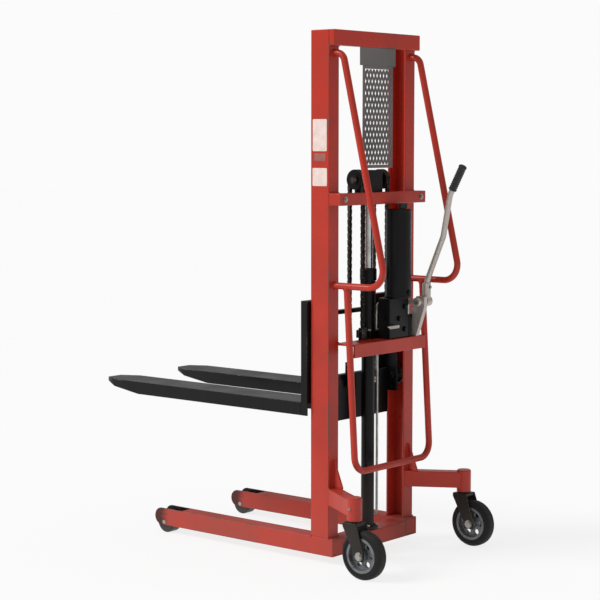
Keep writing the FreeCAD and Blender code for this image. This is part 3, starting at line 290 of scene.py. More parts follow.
def tyre_rubber(name, centre, tread_radius):
    """Moulded solid rubber: matt black side walls, and a tread scuffed grey with floor dust."""
    grain_mm, scuff_mm, tread_edge = 1.5, 12, 5 * MM
    material, shader = new_material(name, Specular_IOR_Level=0.35)
    place = add(material, "TexCoord", {}, "Object")
    from_axle = add(material, "VectorMath", {0: place, 1: centre}, operation="SUBTRACT")
    across = add(material, "VectorMath", {0: from_axle, 1: (0, 1, 1)}, operation="MULTIPLY")
    radius = add(material, "VectorMath", {0: across}, "Value", operation="LENGTH")
    tread = add(material, "MapRange",
                {"Value": radius, "From Min": tread_radius - tread_edge,
                 "From Max": tread_radius - MM})
    scuff = add(material, "TexNoise",
                {"Vector": place, "Scale": per_metre(scuff_mm), "Detail": 6.0, "Roughness": 0.7})
    blotch = add(material, "MapRange",
                 {"Value": scuff, "From Min": 0.4, "From Max": 0.7, "To Min": 0.1, "To Max": 0.75})
    dust = add(material, "Math", {0: tread, 1: blotch}, operation="MULTIPLY")
    tone = add(material, "Mix",
               {"Factor": dust, MIX_A: linear("#151516"), MIX_B: linear("#403D3A")}, **MIX_COLOURS)
    rough = add(material, "MapRange", {"Value": scuff, "To Min": 0.55, "To Max": 0.85})
    grain = add(material, "TexNoise", {"Vector": place, "Scale": per_metre(grain_mm)})
    bump = add(material, "Bump", {"Height": grain, "Strength": 0.2, "Distance": 0.2 * MM}, "Normal")
    plug(material, shader, {"Base Color": tone, "Roughness": rough, "Normal": bump})
    return material


def moulded_plastic(name, colour, worn, gloss):
    """Moulded or turned plastic and seal rubber: a fine even grain, rubbed smoother and paler by use."""
    grain_mm, rub_mm = 1.2, 22
    material, shader = new_material(name)
    place = add(material, "TexCoord", {}, "Object")
    grain = add(material, "TexNoise", {"Vector": place, "Scale": per_metre(grain_mm)})
    rub = add(material, "TexNoise", {"Vector": place, "Scale": per_metre(rub_mm), "Detail": 4.0})
    tone = add(material, "Mix",
               {"Factor": rub, MIX_A: linear(colour), MIX_B: linear(worn)}, **MIX_COLOURS)
    rough = add(material, "MapRange",
                {"Value": rub, "From Min": 0.3, "From Max": 0.7, "To Min": gloss + 0.12,
                 "To Max": gloss})
    bump = add(material, "Bump", {"Height": grain, "Strength": 0.15, "Distance": 0.15 * MM}, "Normal")
    plug(material, shader, {"Base Color": tone, "Roughness": rough, "Normal": bump})
    return material


def vinyl_label(name, colour, aged):
    """Blank printed vinyl: pale and satin, yellowed and rubbed grey in patches."""
    rub_mm, speck_mm = 34, 4
    material, shader = new_material(name)
    place = add(material, "TexCoord", {}, "Object")
    rub = add(material, "TexNoise",
              {"Vector": place, "Scale": per_metre(rub_mm), "Detail": 6.0, "Roughness": 0.6})
    aging = add(material, "MapRange", {"Value": rub, "From Min": 0.4, "From Max": 0.75})
    tone = add(material, "Mix",
               {"Factor": aging, MIX_A: linear(colour), MIX_B: linear(aged)}, **MIX_COLOURS)
    rough = add(material, "MapRange", {"Value": rub, "To Min": 0.3, "To Max": 0.55})
    speck = add(material, "TexNoise", {"Vector": place, "Scale": per_metre(speck_mm)})
    bump = add(material, "Bump", {"Height": speck, "Strength": 0.04, "Distance": 0.2 * MM}, "Normal")
    plug(material, shader, {"Base Color": tone, "Roughness": rough, "Normal": bump})
    return material


ALONG_MAST, ALONG_FORKS = (1.0, 1.0, 0.06), (1.0, 0.05, 1.0)
RED = sprayed_enamel("red_sprayed_enamel", "#BE3322", "#B03122", 0.26, ALONG_MAST, 0.72)
RED_LEGS = sprayed_enamel("red_sprayed_enamel_scuffed", "#BE3322", "#B03122", 0.3, ALONG_FORKS, 0.66,
                          toe=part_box("left_leg")[0].y)
BLACK = sprayed_enamel("black_sprayed_enamel", "#0C0C0D", "#131315", 0.3, ALONG_MAST, 0.74, 0.18)
BLACK_FORKS = sprayed_enamel("black_sprayed_enamel_rubbed", "#0E0E0F", "#171718", 0.28, ALONG_FORKS,
                             0.67, 0.2)
GREY = sprayed_enamel("grey_sprayed_enamel", "#726C6B", "#656160", 0.4, ALONG_MAST, 0.72)
CHROME = hard_chrome()
ZINC = zinc_plated()
DRAWN = drawn_steel()
CHAIN = oiled_steel("blackened_chain_steel_oiled", "#2A2725", "#5B5651", 11)
HUB = cast_aluminium()
NYLON = moulded_plastic("turned_black_nylon", "#232221", "#34322F", 0.34)
PLASTIC = moulded_plastic("moulded_black_plastic", "#19191A", "#2B2B2C", 0.42)
RUBBER = moulded_plastic("moulded_seal_rubber", "#141414", "#222222", 0.6)
# Near-black steel for the inside of the legs' roller slots: grease, and painted shade, kept this dark
# although the lamp lights the slot's inner walls
GREASE_AND_SLOT_SHADE = oiled_steel("grease_and_painted_shade_in_slots", "#171412", "#332C28", 40)
LABEL = vinyl_label("blank_pale_vinyl", "#F4E0D8", "#E2C9BF")
SMALL_LABEL = vinyl_label("blank_brown_vinyl", "#A8685D", "#8E574D")

FINISH = {
    "red_paint": RED,
    "black_paint": BLACK,
    "grey_paint": GREY,
    "chromed_steel": CHROME,
    "bare_steel": ZINC,
    "chain_steel": CHAIN,
    "wheel_hub": HUB,
    "roller_nylon": NYLON,
    "black_plastic": PLASTIC,
}
OWN_FINISH = {
    "left_fork": BLACK_FORKS,
    "right_fork": BLACK_FORKS,
    "left_fork_shank": BLACK_FORKS,
    "right_fork_shank": BLACK_FORKS,
    "pump_lever": DRAWN,
    "lever_bracket": DRAWN,
    "sheave_axle": CHAIN,
}


# Ways of making pieces

def to_piece(name, bm, body, material, replaced=(), crease=SHARP):
    """Turns a finished bmesh into a named piece that rides on a body and may stand for nodes.

    A piece without a body is left unattached here.
    """
    mesh = bpy.data.meshes.new(name)
    bm.to_mesh(mesh)
    bm.free()
    mesh.materials.append(material)
    mesh.shade_smooth()
    mesh.set_sharp_from_angle(angle=crease)
    obj = bpy.data.objects.new(name, mesh)
    bpy.context.scene.collection.objects.link(obj)
    if body is not None:
        even = obj.modifiers.new("even_shading", "WEIGHTED_NORMAL")
        even.keep_sharp = True
        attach(obj, body)
    if replaced:
        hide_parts(*replaced)
    return obj


def stand_in(node, name, bm, material, crease=SHARP):
    """A piece that is shown instead of a node, with the node's body."""
    return to_piece(name, bm, BODY_OF[node], material, [node], crease)


def to_shape(bm):
    """Keeps a finished bmesh as a mesh that other pieces can stamp."""
    mesh = bpy.data.meshes.new("shape")
    bm.to_mesh(mesh)
    bm.free()
    return mesh


def stamp(bm, shape, matrix):
    """Adds a copy of a ready shape, moved by a matrix, to a mesh in the making."""
    moved = shape.copy()
    moved.transform(matrix)
    bm.from_mesh(moved)
    bpy.data.meshes.remove(moved)


def facing(point, axis):
    """The matrix that puts a shape made along +Z at a point, along an axis."""
    turn = Z_AXIS.rotation_difference(Vector(axis)).to_matrix().to_4x4()
    return Matrix.Translation(Vector(point)) @ turn


def round_edges(bm, edges, offset, segments):
    """Rounds edges off and returns the faces of the rounding."""
    rounded = bmesh.ops.bevel(bm, geom=list(edges), offset=offset, segments=segments, profile=0.5,
                              affect="EDGES", material=-1)
    return rounded["faces"]


def turned(profile, steps=64, closed=False):
    """A shape turned about Z from (radius, height) points in millimetres."""
    bm = bmesh.new()
    verts = [bm.verts.new((radius * MM, 0, height * MM)) for radius, height in profile]
    edges = [bm.edges.new(ends) for ends in zip(verts, verts[1:])]
    if closed:
        edges.append(bm.edges.new((verts[-1], verts[0])))
    bmesh.ops.spin(bm, geom=verts + edges, cent=(0, 0, 0), axis=Z_AXIS, dvec=(0, 0, 0),
                   angle=2 * math.pi, steps=steps, use_merge=True)
    bmesh.ops.remove_doubles(bm, verts=bm.verts, dist=0.001 * MM)
    bmesh.ops.recalc_face_normals(bm, faces=bm.faces)
    return to_shape(bm)


def turned_bar(radius, length, ease):
    """A round bar from its foot up, in millimetres, with both ends eased."""
    return turned([(0, 0), (radius - ease, 0), (radius, ease), (radius, length - ease),
                   (radius - ease, length), (0, length)])


def hexagon(across_corners, height, ease=0.8):
    """A hexagonal head or nut from its seat up, in millimetres, with its edges eased."""
    radius = across_corners / 2 * MM
    bm = bmesh.new()
    bmesh.ops.create_cone(bm, cap_ends=True, segments=6, radius1=radius, radius2=radius,
                          depth=height * MM, matrix=Matrix.Translation((0, 0, height / 2 * MM)))
    round_edges(bm, bm.edges, ease * MM, 2)
    return to_shape(bm)


def slab(bm, low, high, round_off):
    """A block between two corners with all its edges rounded."""
    low, high = Vector(low), Vector(high)
    matrix = Matrix.Translation((low + high) / 2) @ Matrix.Diagonal((*(high - low), 1))
    made = bmesh.ops.create_cube(bm, size=1, matrix=matrix)
    round_edges(bm, {edge for vert in made["verts"] for edge in vert.link_edges}, round_off, 2)


def half_round(centre, tip, side, radius, steps):
    """Points of a half circle that starts at one side, passes the tip and ends at the other side."""
    angles = [math.pi * step / steps for step in range(steps + 1)]
    return [centre + (side * math.cos(angle) + tip * math.sin(angle)) * radius for angle in angles]


def raise_outline(bm, outline, lift, round_off):
    """Raises a flat outline into a block and rounds its sharp edges."""
    face = bm.faces.new([bm.verts.new(point) for point in outline])
    raised = bmesh.ops.extrude_face_region(bm, geom=[face])
    tops = [item for item in raised["geom"] if isinstance(item, bmesh.types.BMVert)]
    bmesh.ops.translate(bm, vec=lift, verts=tops)
    block = {near for vert in tops for edge in vert.link_edges for near in edge.link_faces}
    block.add(face)
    bmesh.ops.recalc_face_normals(bm, faces=list(block))
    sharp = {edge for member in block for edge in member.edges if edge.calc_face_angle_signed() > SHARP}
    round_edges(bm, sharp, round_off, 3)


def rims_a_bore(edge):
    """Whether an edge runs round a bore, whose facets meet at shallow inward angles."""
    return any(-SHARP < near.calc_face_angle_signed(0) < -FLAT
               for face in edge.link_faces for near in face.edges)


def rounded_copy(node, round_off_mm):
    """A copy of a node with its outer edges rounded; the rounded strips carry the finish's wear.

    Rims of bores stay sharp: a pin or bolt fills them, and the walls round them are thin.
    """
    bm = bmesh.new()
    bm.from_mesh(frame["nodes"][node].data)
    bmesh.ops.remove_doubles(bm, verts=bm.verts, dist=0.01 * MM)
    bmesh.ops.dissolve_limit(bm, angle_limit=FLAT, verts=bm.verts, edges=bm.edges)
    wear = bm.faces.layers.float.new("wear")
    outer = [edge for edge in bm.edges
             if edge.is_manifold and edge.calc_face_angle_signed() > SHARP and not rims_a_bore(edge)]
    for face in round_edges(bm, outer, round_off_mm * MM, 3):
        face[wear] = 1.0
    return bm


# Edge rounding in millimetres of the pieces whose shape the frame already has
ROUND_OFF = {
    "top_beam": 3,
    "upper_tie": 3,
    "pump_shelf": 2,
    "base_beam": 3,
    "crosshead": 4,
    "guard_header": 1,
    "cylinder_clamp": 2,
    "cylinder_foot": 2,
    "cylinder_gland": 3,
    "carriage_frame": 2,
    "lever_bracket": 2.5,
    "frame_bolts": 1,
    "front_chain_anchors": 1.5,
    "rear_chain_anchors": 2,
    "pump_plunger": 1,
}
ROUND_OFF_PAIRS = {
    "column": 3,
    "fork": 2.5,
    "fork_shank": 1.8,
    "caster_yoke": 1.5,
    "caster_hub": 1.5,
    "leg_roller": 1,
    "lower_guide_roller": 1.5,
    "upper_guide_roller": 1.5,
    "sheave": 1,
}


def make_rounded_nodes():
    """Shows the nodes of both lists as copies with rounded edges, each in its own finish."""
    pairs = {f"{side}_{name}": size for name, size in ROUND_OFF_PAIRS.items() for side in SIDES}
    for node, round_off in (ROUND_OFF | pairs).items():
        finish = OWN_FINISH.get(node, FINISH[SLOT_OF[node]])
        stand_in(node, f"{node}_rounded", rounded_copy(node, round_off), finish)


def make_legs():
    """Straddle legs: rounded edges, a roller slot darkened with grease and painted shade, and a plate
    welded into the rear end.
    """
    round_off = 2.5
    slot_half, slot_length = 28 * MM, 140 * MM
    wall, plate_thick, plate_sunk, plate_ease = 6 * MM, 4 * MM, 2 * MM, 0.8 * MM
    for side in SIDES:
        node = f"{side}_leg"
        low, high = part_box(node)
        middle_x = (low.x + high.x) / 2
        bm = rounded_copy(node, round_off)
        # Faces inside the roller slot take the second material: grease, and painted shade for the slot's
        # inside
        for face in bm.faces:
            middle = face.calc_center_median()
            if abs(middle.x - middle_x) < slot_half and middle.y < low.y + slot_length:
                face.material_index = 1
        plate_rear = high.y - plate_sunk
        slab(bm, (low.x + wall, plate_rear - plate_thick, low.z + wall),
             (high.x - wall, plate_rear, high.z - wall), plate_ease)
        leg = stand_in(node, f"{side}_leg_rounded", bm, RED_LEGS)
        leg.data.materials.append(GREASE_AND_SLOT_SHADE)


def make_outriggers():
    """Each caster's arm: a box tube, the turned kingpin housing and a gusset, welded together."""
    arm_width, arm_round = 50 * MM, 3 * MM
    housing_top, kingpin_bore, end_play, foot_ease = 296 * MM, 13, 1, 2
    lid_radius = HOUSING_RADIUS - 1.5
    gusset_reach, gusset_edge, gusset_round = 45 * MM, 6 * MM, 1.2 * MM
    for side, sign in SIDES.items():
        node = f"{side}_outrigger"
        low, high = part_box(node)
        yoke_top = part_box(f"{side}_caster_yoke")[1].z
        outer_x = max(abs(low.x), abs(high.x))
        root = Vector((COLUMN_X, REAR, 0))
        pivot = Vector((outer_x - HOUSING_RADIUS * MM, high.y - HOUSING_RADIUS * MM, 0))
        along = (pivot - root).normalized()
        across = along.cross(Z_AXIS) * arm_width / 2
        slant = along * across.y / along.y
        plan = [root + across - slant, pivot + across, pivot - across, root - across + slant]
        bm = bmesh.new()
        arm = [(sign * point.x, point.y, ARM_FOOT) for point in plan]
        raise_outline(bm, arm, Z_AXIS * ARM_HEIGHT, arm_round)

        bore_top = (yoke_top - low.z) / MM + end_play
        height = (housing_top - low.z) / MM
        housing = turned([
            (0, bore_top), (kingpin_bore, bore_top), (kingpin_bore, 0), (HOUSING_RADIUS - foot_ease, 0),
            (HOUSING_RADIUS, foot_ease), (HOUSING_RADIUS, height - 5), (lid_radius, height - 4),
            (lid_radius, height - 2), (lid_radius - 2.5, height), (0, height),
        ])
        stamp(bm, housing, Matrix.Translation((sign * pivot.x, pivot.y, low.z)))

        side_x = sign * COLUMN_X - GUSSET_THICK / 2
        gusset = [(REAR, ARM_TOP), (REAR + gusset_reach, ARM_TOP),
                  (REAR + gusset_reach, ARM_TOP + gusset_edge),
                  (REAR + gusset_edge, high.z), (REAR, high.z)]
        raise_outline(bm, [(side_x, y, z) for y, z in gusset], X_AXIS * GUSSET_THICK, gusset_round)
        stand_in(node, f"{side}_outrigger_welded", bm, RED)


def make_pump_body():
    """The cast pump block with eased edges, its plunger barrel and the barrel's gland nut."""
    low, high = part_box("pump_block")
    block_width, block_round = 120 * MM, 5 * MM
    bore, barrel_radius, collar_radius, barrel_height = 13, 18, 19, 74
    nut_bore, nut_radius, nut_height = 14.2, 20.6, 11
    bm = bmesh.new()
    slab(bm, (high.x - block_width, low.y, low.z), high, block_round)
    barrel = turned([
        (bore, 0), (collar_radius, 0), (collar_radius, 2), (barrel_radius, 4), (barrel_radius, 62),
        (collar_radius, 64), (collar_radius, barrel_height), (bore, barrel_height),
    ], closed=True)
    foot = Vector((PLUNGER.x, PLUNGER.y, low.z))
    stamp(bm, barrel, Matrix.Translation(foot))
    nut = turned([
        (nut_bore, 0), (nut_radius - 0.6, 0), (nut_radius, 0.8), (nut_radius, nut_height - 2),
        (nut_radius - 1.2, nut_height), (nut_bore, nut_height),
    ], steps=6, closed=True)
    stamp(bm, nut, Matrix.Translation(foot + Z_AXIS * barrel_height * MM))
    stand_in("pump_block", "pump_body", bm, BLACK)


def make_rocker():
    """The pump's rocker: a shaft with a forged arm at one end and the lever's hub and socket."""
    low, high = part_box("pump_rocker")
    shaft_radius, shaft_ease, ease = 10, 1, 1.5
    hub_radius, hub_width = 20, 30
    sleeve_radius, lever_fit, socket_foot, mouth_ease = 17, 11, 23, 1
    boss_radius, nose_radius, arm_width, arm_root = 17, 8, 14, 12
    pivot = Vector((0, high.y - hub_radius * MM, low.z + hub_radius * MM))
    bm = bmesh.new()
    shaft = turned_bar(shaft_radius, (high.x - low.x) / MM, shaft_ease)
    stamp(bm, shaft, facing(pivot + X_AXIS * low.x, X_AXIS))
    hub = turned_bar(hub_radius, hub_width, ease)
    stamp(bm, hub, facing(pivot + X_AXIS * (LEVER_X - hub_width / 2 * MM), X_AXIS))
    top = (high.z - pivot.z) / MM
    sleeve = turned([
        (0, socket_foot), (lever_fit, socket_foot), (lever_fit, top - mouth_ease),
        (lever_fit + mouth_ease, top), (sleeve_radius - ease, top), (sleeve_radius, top - ease),
        (sleeve_radius, ease), (sleeve_radius - ease, 0), (0, 0),
    ])
    stamp(bm, sleeve, Matrix.Translation(pivot + X_AXIS * LEVER_X))

    boss = turned_bar(boss_radius, arm_width, ease)
    stamp(bm, boss, facing(pivot + X_AXIS * (PLUNGER.x - arm_width / 2 * MM), X_AXIS))
    arm_thick = (arm_width - ease) * MM
    arm_x = PLUNGER.x - arm_thick / 2
    root = Vector((arm_x, pivot.y - arm_root * MM, pivot.z))
    nose = Vector((arm_x, low.y + nose_radius * MM, pivot.z))
    half_height = Z_AXIS * nose_radius * MM
    arm = [root - half_height, root + half_height]
    arm += half_round(nose, -Y_AXIS, Z_AXIS, nose_radius * MM, 16)
    raise_outline(bm, arm, X_AXIS * arm_thick, ease * MM)
    stand_in("pump_rocker", "forged_pump_rocker", bm, DRAWN)


def make_release_lever():
    """The lowering lever: a turned valve stem and a flat bar with round ends."""
    low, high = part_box("release_lever")
    bar_thick, bar_ease = 9 * MM, 1.2 * MM
    stem_radius, stem_ease, stem_sunk = 6, 0.8, 1
    radius = (high.z - low.z) / 2
    level = low.z + radius
    bar_y = high.y - bar_thick
    stem_length = (bar_y - low.y) / MM + stem_sunk
    stem = turned([(0, 0), (stem_radius - stem_ease, 0), (stem_radius, stem_ease),
                   (stem_radius, stem_length), (0, stem_length)], steps=32)
    bm = bmesh.new()
    stamp(bm, stem, facing((low.x + radius, low.y, level), Y_AXIS))
    bar = []
    for x, way in ((high.x - radius, 1), (low.x + radius, -1)):
        bar += half_round(Vector((x, bar_y, level)), X_AXIS * way, Z_AXIS * -way, radius, 12)
    raise_outline(bm, bar, Y_AXIS * bar_thick, bar_ease)
    stand_in("release_lever", "flat_release_lever", bm, ZINC)


def make_reservoir():
    """The oil tank: a rolled tube with a seam ring at each end and a slightly sunk lid."""
    low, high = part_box("oil_reservoir")
    centre = middle_of("oil_reservoir")
    radius = (high.x - low.x) / 2 / MM
    height = (high.z - low.z) / MM
    seam_height, seam_slope, lid_sunk = 9, 1.5, 2
    shell = radius - 1.2
    tank = turned([
        (0, 0), (radius - 3, 0), (radius, 2.5), (radius, seam_height),
        (shell, seam_height + seam_slope), (shell, height - seam_height - seam_slope),
        (radius, height - seam_height), (radius, height - 2.5), (radius - 2.5, height),
        (radius - 6, height), (radius - 8, height - lid_sunk), (0, height - lid_sunk),
    ], steps=96)
    bm = bmesh.new()
    stamp(bm, tank, Matrix.Translation((centre.x, centre.y, low.z)))
    stand_in("oil_reservoir", "rolled_oil_tank", bm, BLACK)


def make_tyres():
    """Solid tyres with a crowned tread, a moulding line and a raised ring on each side wall."""
    tyre_depth = 26
    for side in SIDES:
        node = f"{side}_caster_tyre"
        low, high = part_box(node)
        centre = (low + high) / 2
        half = (high.x - low.x) / 2 / MM
        outer = (high.z - low.z) / 2 / MM
        inner = outer - tyre_depth
        # From the hub's rim, over the raised ring and the shoulder, to the line round the tread
        wall = [
            (inner, half - 2), (inner + 2, half - 0.4), (inner + 5, half - 1.6),
            (inner + 9, half - 1.6), (inner + 10, half), (inner + 13, half),
            (inner + 14.2, half - 1.4), (outer - 7, half - 2.2), (outer - 3, half - 5.5),
            (outer - 1, half - 9.5), (outer - 0.2, half - 15), (outer - 0.4, 1), (outer, 0.4),
        ]
        profile = wall + [(radius, -x) for radius, x in reversed(wall)]
        bm = bmesh.new()
        stamp(bm, turned(profile, steps=96, closed=True), facing(centre, X_AXIS))
        rubber = tyre_rubber(f"{side}_tyre_solid_rubber", centre, outer * MM)
        stand_in(node, f"{side}_tyre", bm, rubber)


def make_axles():
    """Caster axles: a bar with a washer and a hexagon nut outside each yoke cheek."""
    bar_radius, bar_ease, head, stub = 10, 1, 8, 2
    washer_radius, washer_thick, washer_ease = 16, 2, 0.5
    nut_corners, nut_ease = 29, 1
    washer = turned([
        (bar_radius, 0), (washer_radius - washer_ease, 0), (washer_radius, washer_ease),
        (washer_radius, washer_thick), (bar_radius, washer_thick),
    ], closed=True)
    nut = hexagon(nut_corners, head - washer_thick - stub, nut_ease)
    for side in SIDES:
        node = f"{side}_caster_axle"
        low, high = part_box(node)
        centre = (low + high) / 2
        length = high.x - low.x
        bm = bmesh.new()
        bar = turned_bar(bar_radius, length / MM, bar_ease)
        stamp(bm, bar, facing((low.x, centre.y, centre.z), X_AXIS))
        for outward in (X_AXIS, -X_AXIS):
            seat = centre + outward * (length / 2 - head * MM)
            stamp(bm, washer, facing(seat, outward))
            stamp(bm, nut, facing(seat + outward * washer_thick * MM, outward))
        stand_in(node, f"{side}_axle_with_nuts", bm, ZINC)


def make_grip():
    """The lever's moulded grip: a flange, finger rings and a domed end."""
    # The lever's top stretch leans back by 57 mm over 107 mm of its height
    lean = Vector((0, 57, 107)).normalized()
    lever_radius, radius, groove, length = 11.5, 16, 2.2, 105
    flange, plain_ends, ring_count = 8, 24, 9
    half = length / 2
    pitch = (length - plain_ends) / ring_count
    profile = [(lever_radius, -half), (radius - 1, -half), (radius, 1 - half), (radius, 4 - half),
               (radius - 1.5, 6 - half)]
    for ring in range(ring_count):
        foot = flange - half + ring * pitch
        profile += [(radius - groove, foot), (radius - 0.6, foot + 0.3 * pitch),
                    (radius - 0.6, foot + 0.6 * pitch), (radius - groove, foot + 0.9 * pitch)]
    profile += [(radius - 1, half - 12), (radius, half - 9), (radius, half - 6),
                (radius - 2, half - 2.5), (radius - 6, half - 0.6), (0, half)]
    bm = bmesh.new()
    stamp(bm, turned(profile), facing(middle_of("lever_grip"), lean))
    stand_in("lever_grip", "ribbed_lever_grip", bm, PLASTIC)


def make_filler_cap():
    """The reservoir's screw cap, with finger flutes round its rim and a stepped top."""
    low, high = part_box("filler_cap")
    flute_count, flute_edge, flute_depth = 20, 0.4 * MM, 1.2 * MM
    rim, top_sunk = 3 * MM, 1.5 * MM
    neck, neck_bore, neck_radius = 4, 11, 13
    radius = (high.x - low.x) / 2
    skirt = high.z - low.z - neck * MM
    foot = Vector(((low.x + high.x) / 2, (low.y + high.y) / 2, low.z))
    middle = foot + Z_AXIS * (neck * MM + skirt / 2)
    bm = bmesh.new()
    bmesh.ops.create_cone(bm, cap_ends=True, segments=2 * flute_count, radius1=radius, radius2=radius,
                          depth=skirt, matrix=Matrix.Translation(middle))
    sides = [face for face in bm.faces if abs(face.normal.z) < 0.5]
    sides.sort(key=lambda face: math.atan2(*(face.calc_center_median() - foot).xy))
    bmesh.ops.inset_individual(bm, faces=sides[::2], thickness=flute_edge, depth=-flute_depth)
    top = max(bm.faces, key=lambda face: face.calc_center_median().z)
    bmesh.ops.inset_region(bm, faces=[top], thickness=rim, depth=0)
    bmesh.ops.translate(bm, vec=-Z_AXIS * top_sunk, verts=top.verts)
    neck_ring = turned([(neck_bore, 0), (neck_radius, 0), (neck_radius, neck), (neck_bore, neck)],
                       steps=40, closed=True)
    stamp(bm, neck_ring, Matrix.Translation(foot))
    stand_in("filler_cap", "fluted_filler_cap", bm, PLASTIC)


def make_mesh_guard():
    """Expanded metal: tilted strands that meet in knuckles, inside a flat welded rim."""
    low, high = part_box("mesh_guard")
    border, rim_half, rim_ease = 12 * MM, 1.5 * MM, 0.5 * MM
    pitch_across, pitch_up = 20 * MM, 44 * MM
    strand_wide, strand_thick, tilt = 7.2 * MM, 1.6 * MM, math.radians(35)
    middle = middle_of("mesh_guard")
    bm = bmesh.new()
    bars = [
        ((low.x, low.z), (low.x + border, high.z)),
        ((high.x - border, low.z), (high.x, high.z)),
        ((low.x + border, low.z), (high.x - border, low.z + border)),
        ((low.x + border, high.z - border), (high.x - border, high.z)),
    ]
    for (x_low, z_low), (x_high, z_high) in bars:
        slab(bm, (x_low, middle.y - rim_half, z_low), (x_high, middle.y + rim_half, z_high), rim_ease)

    strand = bmesh.new()
    step_across, step_up = pitch_across / 2, pitch_up / 2
    reach = math.hypot(step_across, step_up)
    bmesh.ops.create_cube(strand, size=1, matrix=Matrix.Diagonal((strand_wide, strand_thick, reach, 1)))
    strand_shape = to_shape(strand)
    rows = int((high.z - low.z - border) / step_up)
    columns = int((high.x - low.x - border) / step_across)
    slope = math.atan2(pitch_across, pitch_up)
    first_x = -(columns - 1) / 2 * step_across
    first_z = middle.z - (rows - 1) / 2 * step_up
    for row in range(rows):
        for column in range(columns):
            lean = slope if (row + column) % 2 else -slope
            point = Vector((first_x + column * step_across, middle.y, first_z + row * step_up))
            turn = Matrix.Rotation(lean, 4, "Y") @ Matrix.Rotation(-tilt, 4, "Z")
            stamp(bm, strand_shape, Matrix.Translation(point) @ turn)
    stand_in("mesh_guard", "expanded_metal_guard", bm, GREY, crease=math.radians(30))


def chain_shapes(plate_depth, pitch, width):
    """One link plate, along Z about its middle, and one pin along X."""
    lane_share = 0.9
    plate_thick = lane_share * width / CHAIN_LANES
    bm = bmesh.new()
    made = bmesh.ops.create_circle(bm, cap_ends=True, segments=12, radius=plate_depth / 2,
                                   matrix=Matrix.Rotation(math.pi / 2, 4, "Y"))
    for vert in made["verts"]:
        vert.co.z += math.copysign(pitch / 2, vert.co.z)
    raised = bmesh.ops.extrude_face_region(bm, geom=bm.faces[:])
    lifted = [item for item in raised["geom"] if isinstance(item, bmesh.types.BMVert)]
    bmesh.ops.translate(bm, vec=X_AXIS * plate_thick, verts=lifted)
    bmesh.ops.translate(bm, vec=X_AXIS * plate_thick / -2, verts=bm.verts)
    bmesh.ops.recalc_face_normals(bm, faces=bm.faces)
    plate = to_shape(bm)
    pin_radius, rivet_radius, proud = 2.3, 1.8, 0.4
    half = width / 2 / MM + proud
    pin = turned([(0, -half), (rivet_radius, -half), (pin_radius, proud - half),
                  (pin_radius, half - proud), (rivet_radius, half), (0, half)], steps=10)
    return plate, pin


def lay_chain(bm, joints, width, plate, pin):
    """Lays leaf chain through its joints: each link's plates lie between those of the next link."""
    lane = width / CHAIN_LANES
    middle_lane = (CHAIN_LANES - 1) / 2
    for index, (start, end) in enumerate(zip(joints, joints[1:])):
        run = end - start
        turn = Matrix.Rotation(math.atan2(-run.y, run.z), 4, "X")
        for place in range(index % 2, CHAIN_LANES, 2):
            aside = X_AXIS * lane * (place - middle_lane)
            stamp(bm, plate, Matrix.Translation((start + end) / 2 + aside) @ turn)
    for joint in joints:
        stamp(bm, pin, facing(joint, X_AXIS))


def make_chains():
    """Two leaf chains from the frame's anchors, over the sheaves, down to the carriage."""
    pitch, plate_depth = 12.7 * MM, 11.4 * MM
    front_low, front_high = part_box("front_chains")
    rear_low, rear_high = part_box("rear_chains")
    front_y = (front_low.y + front_high.y) / 2
    rear_y = (rear_low.y + rear_high.y) / 2
    axle = middle_of("left_sheave")
    radius = (rear_y - front_y) / 2
    width = 2 * (front_high.x - CHAIN_X)
    plate, pin = chain_shapes(plate_depth, pitch, width)
    front, rear, over = bmesh.new(), bmesh.new(), bmesh.new()
    for side in SIDES.values():
        x = side * CHAIN_X
        for bm, y, low, high in ((front, front_y, front_low.z, front_high.z),
                                 (rear, rear_y, rear_low.z, rear_high.z)):
            count = round((high - low) / pitch)
            joints = [Vector((x, y, low + (high - low) * step / count)) for step in range(count + 1)]
            lay_chain(bm, joints, width, plate, pin)
        count = round(math.pi * radius / pitch)
        joints = half_round(Vector((x, axle.y, axle.z)), Z_AXIS, -Y_AXIS, radius, count)
        lay_chain(over, joints, width, plate, pin)
    front_links = to_piece("front_chain_links", front, None, CHAIN, ["front_chains"])
    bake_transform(front_links)
    rear_links = to_piece("rear_chain_links", rear, None, CHAIN, ["rear_chains"])
    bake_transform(rear_links)
    stand_in("chain_turns", "chain_links_over_sheaves", over, CHAIN)


# How far apart the drops of a weld bead lie, in drop radii
BEAD_STEP = 0.9


def bead(bm, drop, start, end, size):
    """A straight weld bead of overlapping drops."""
    start, end = Vector(start), Vector(end)
    count = max(1, round((end - start).length / (BEAD_STEP * size)))
    for step in range(count + 1):
        place = Matrix.Translation(start.lerp(end, step / count))
        stamp(bm, drop, place @ Matrix.Scale(size, 4))


def ring_bead(bm, drop, centre, axis, radius, size):
    """A weld bead round a tube."""
    count = round(2 * math.pi * radius / (BEAD_STEP * size))
    seat = facing(centre, axis)
    for step in range(count):
        angle = 2 * math.pi * step / count
        point = seat @ Vector((radius * math.cos(angle), radius * math.sin(angle), 0))
        stamp(bm, drop, Matrix.Translation(point) @ Matrix.Scale(size, 4))


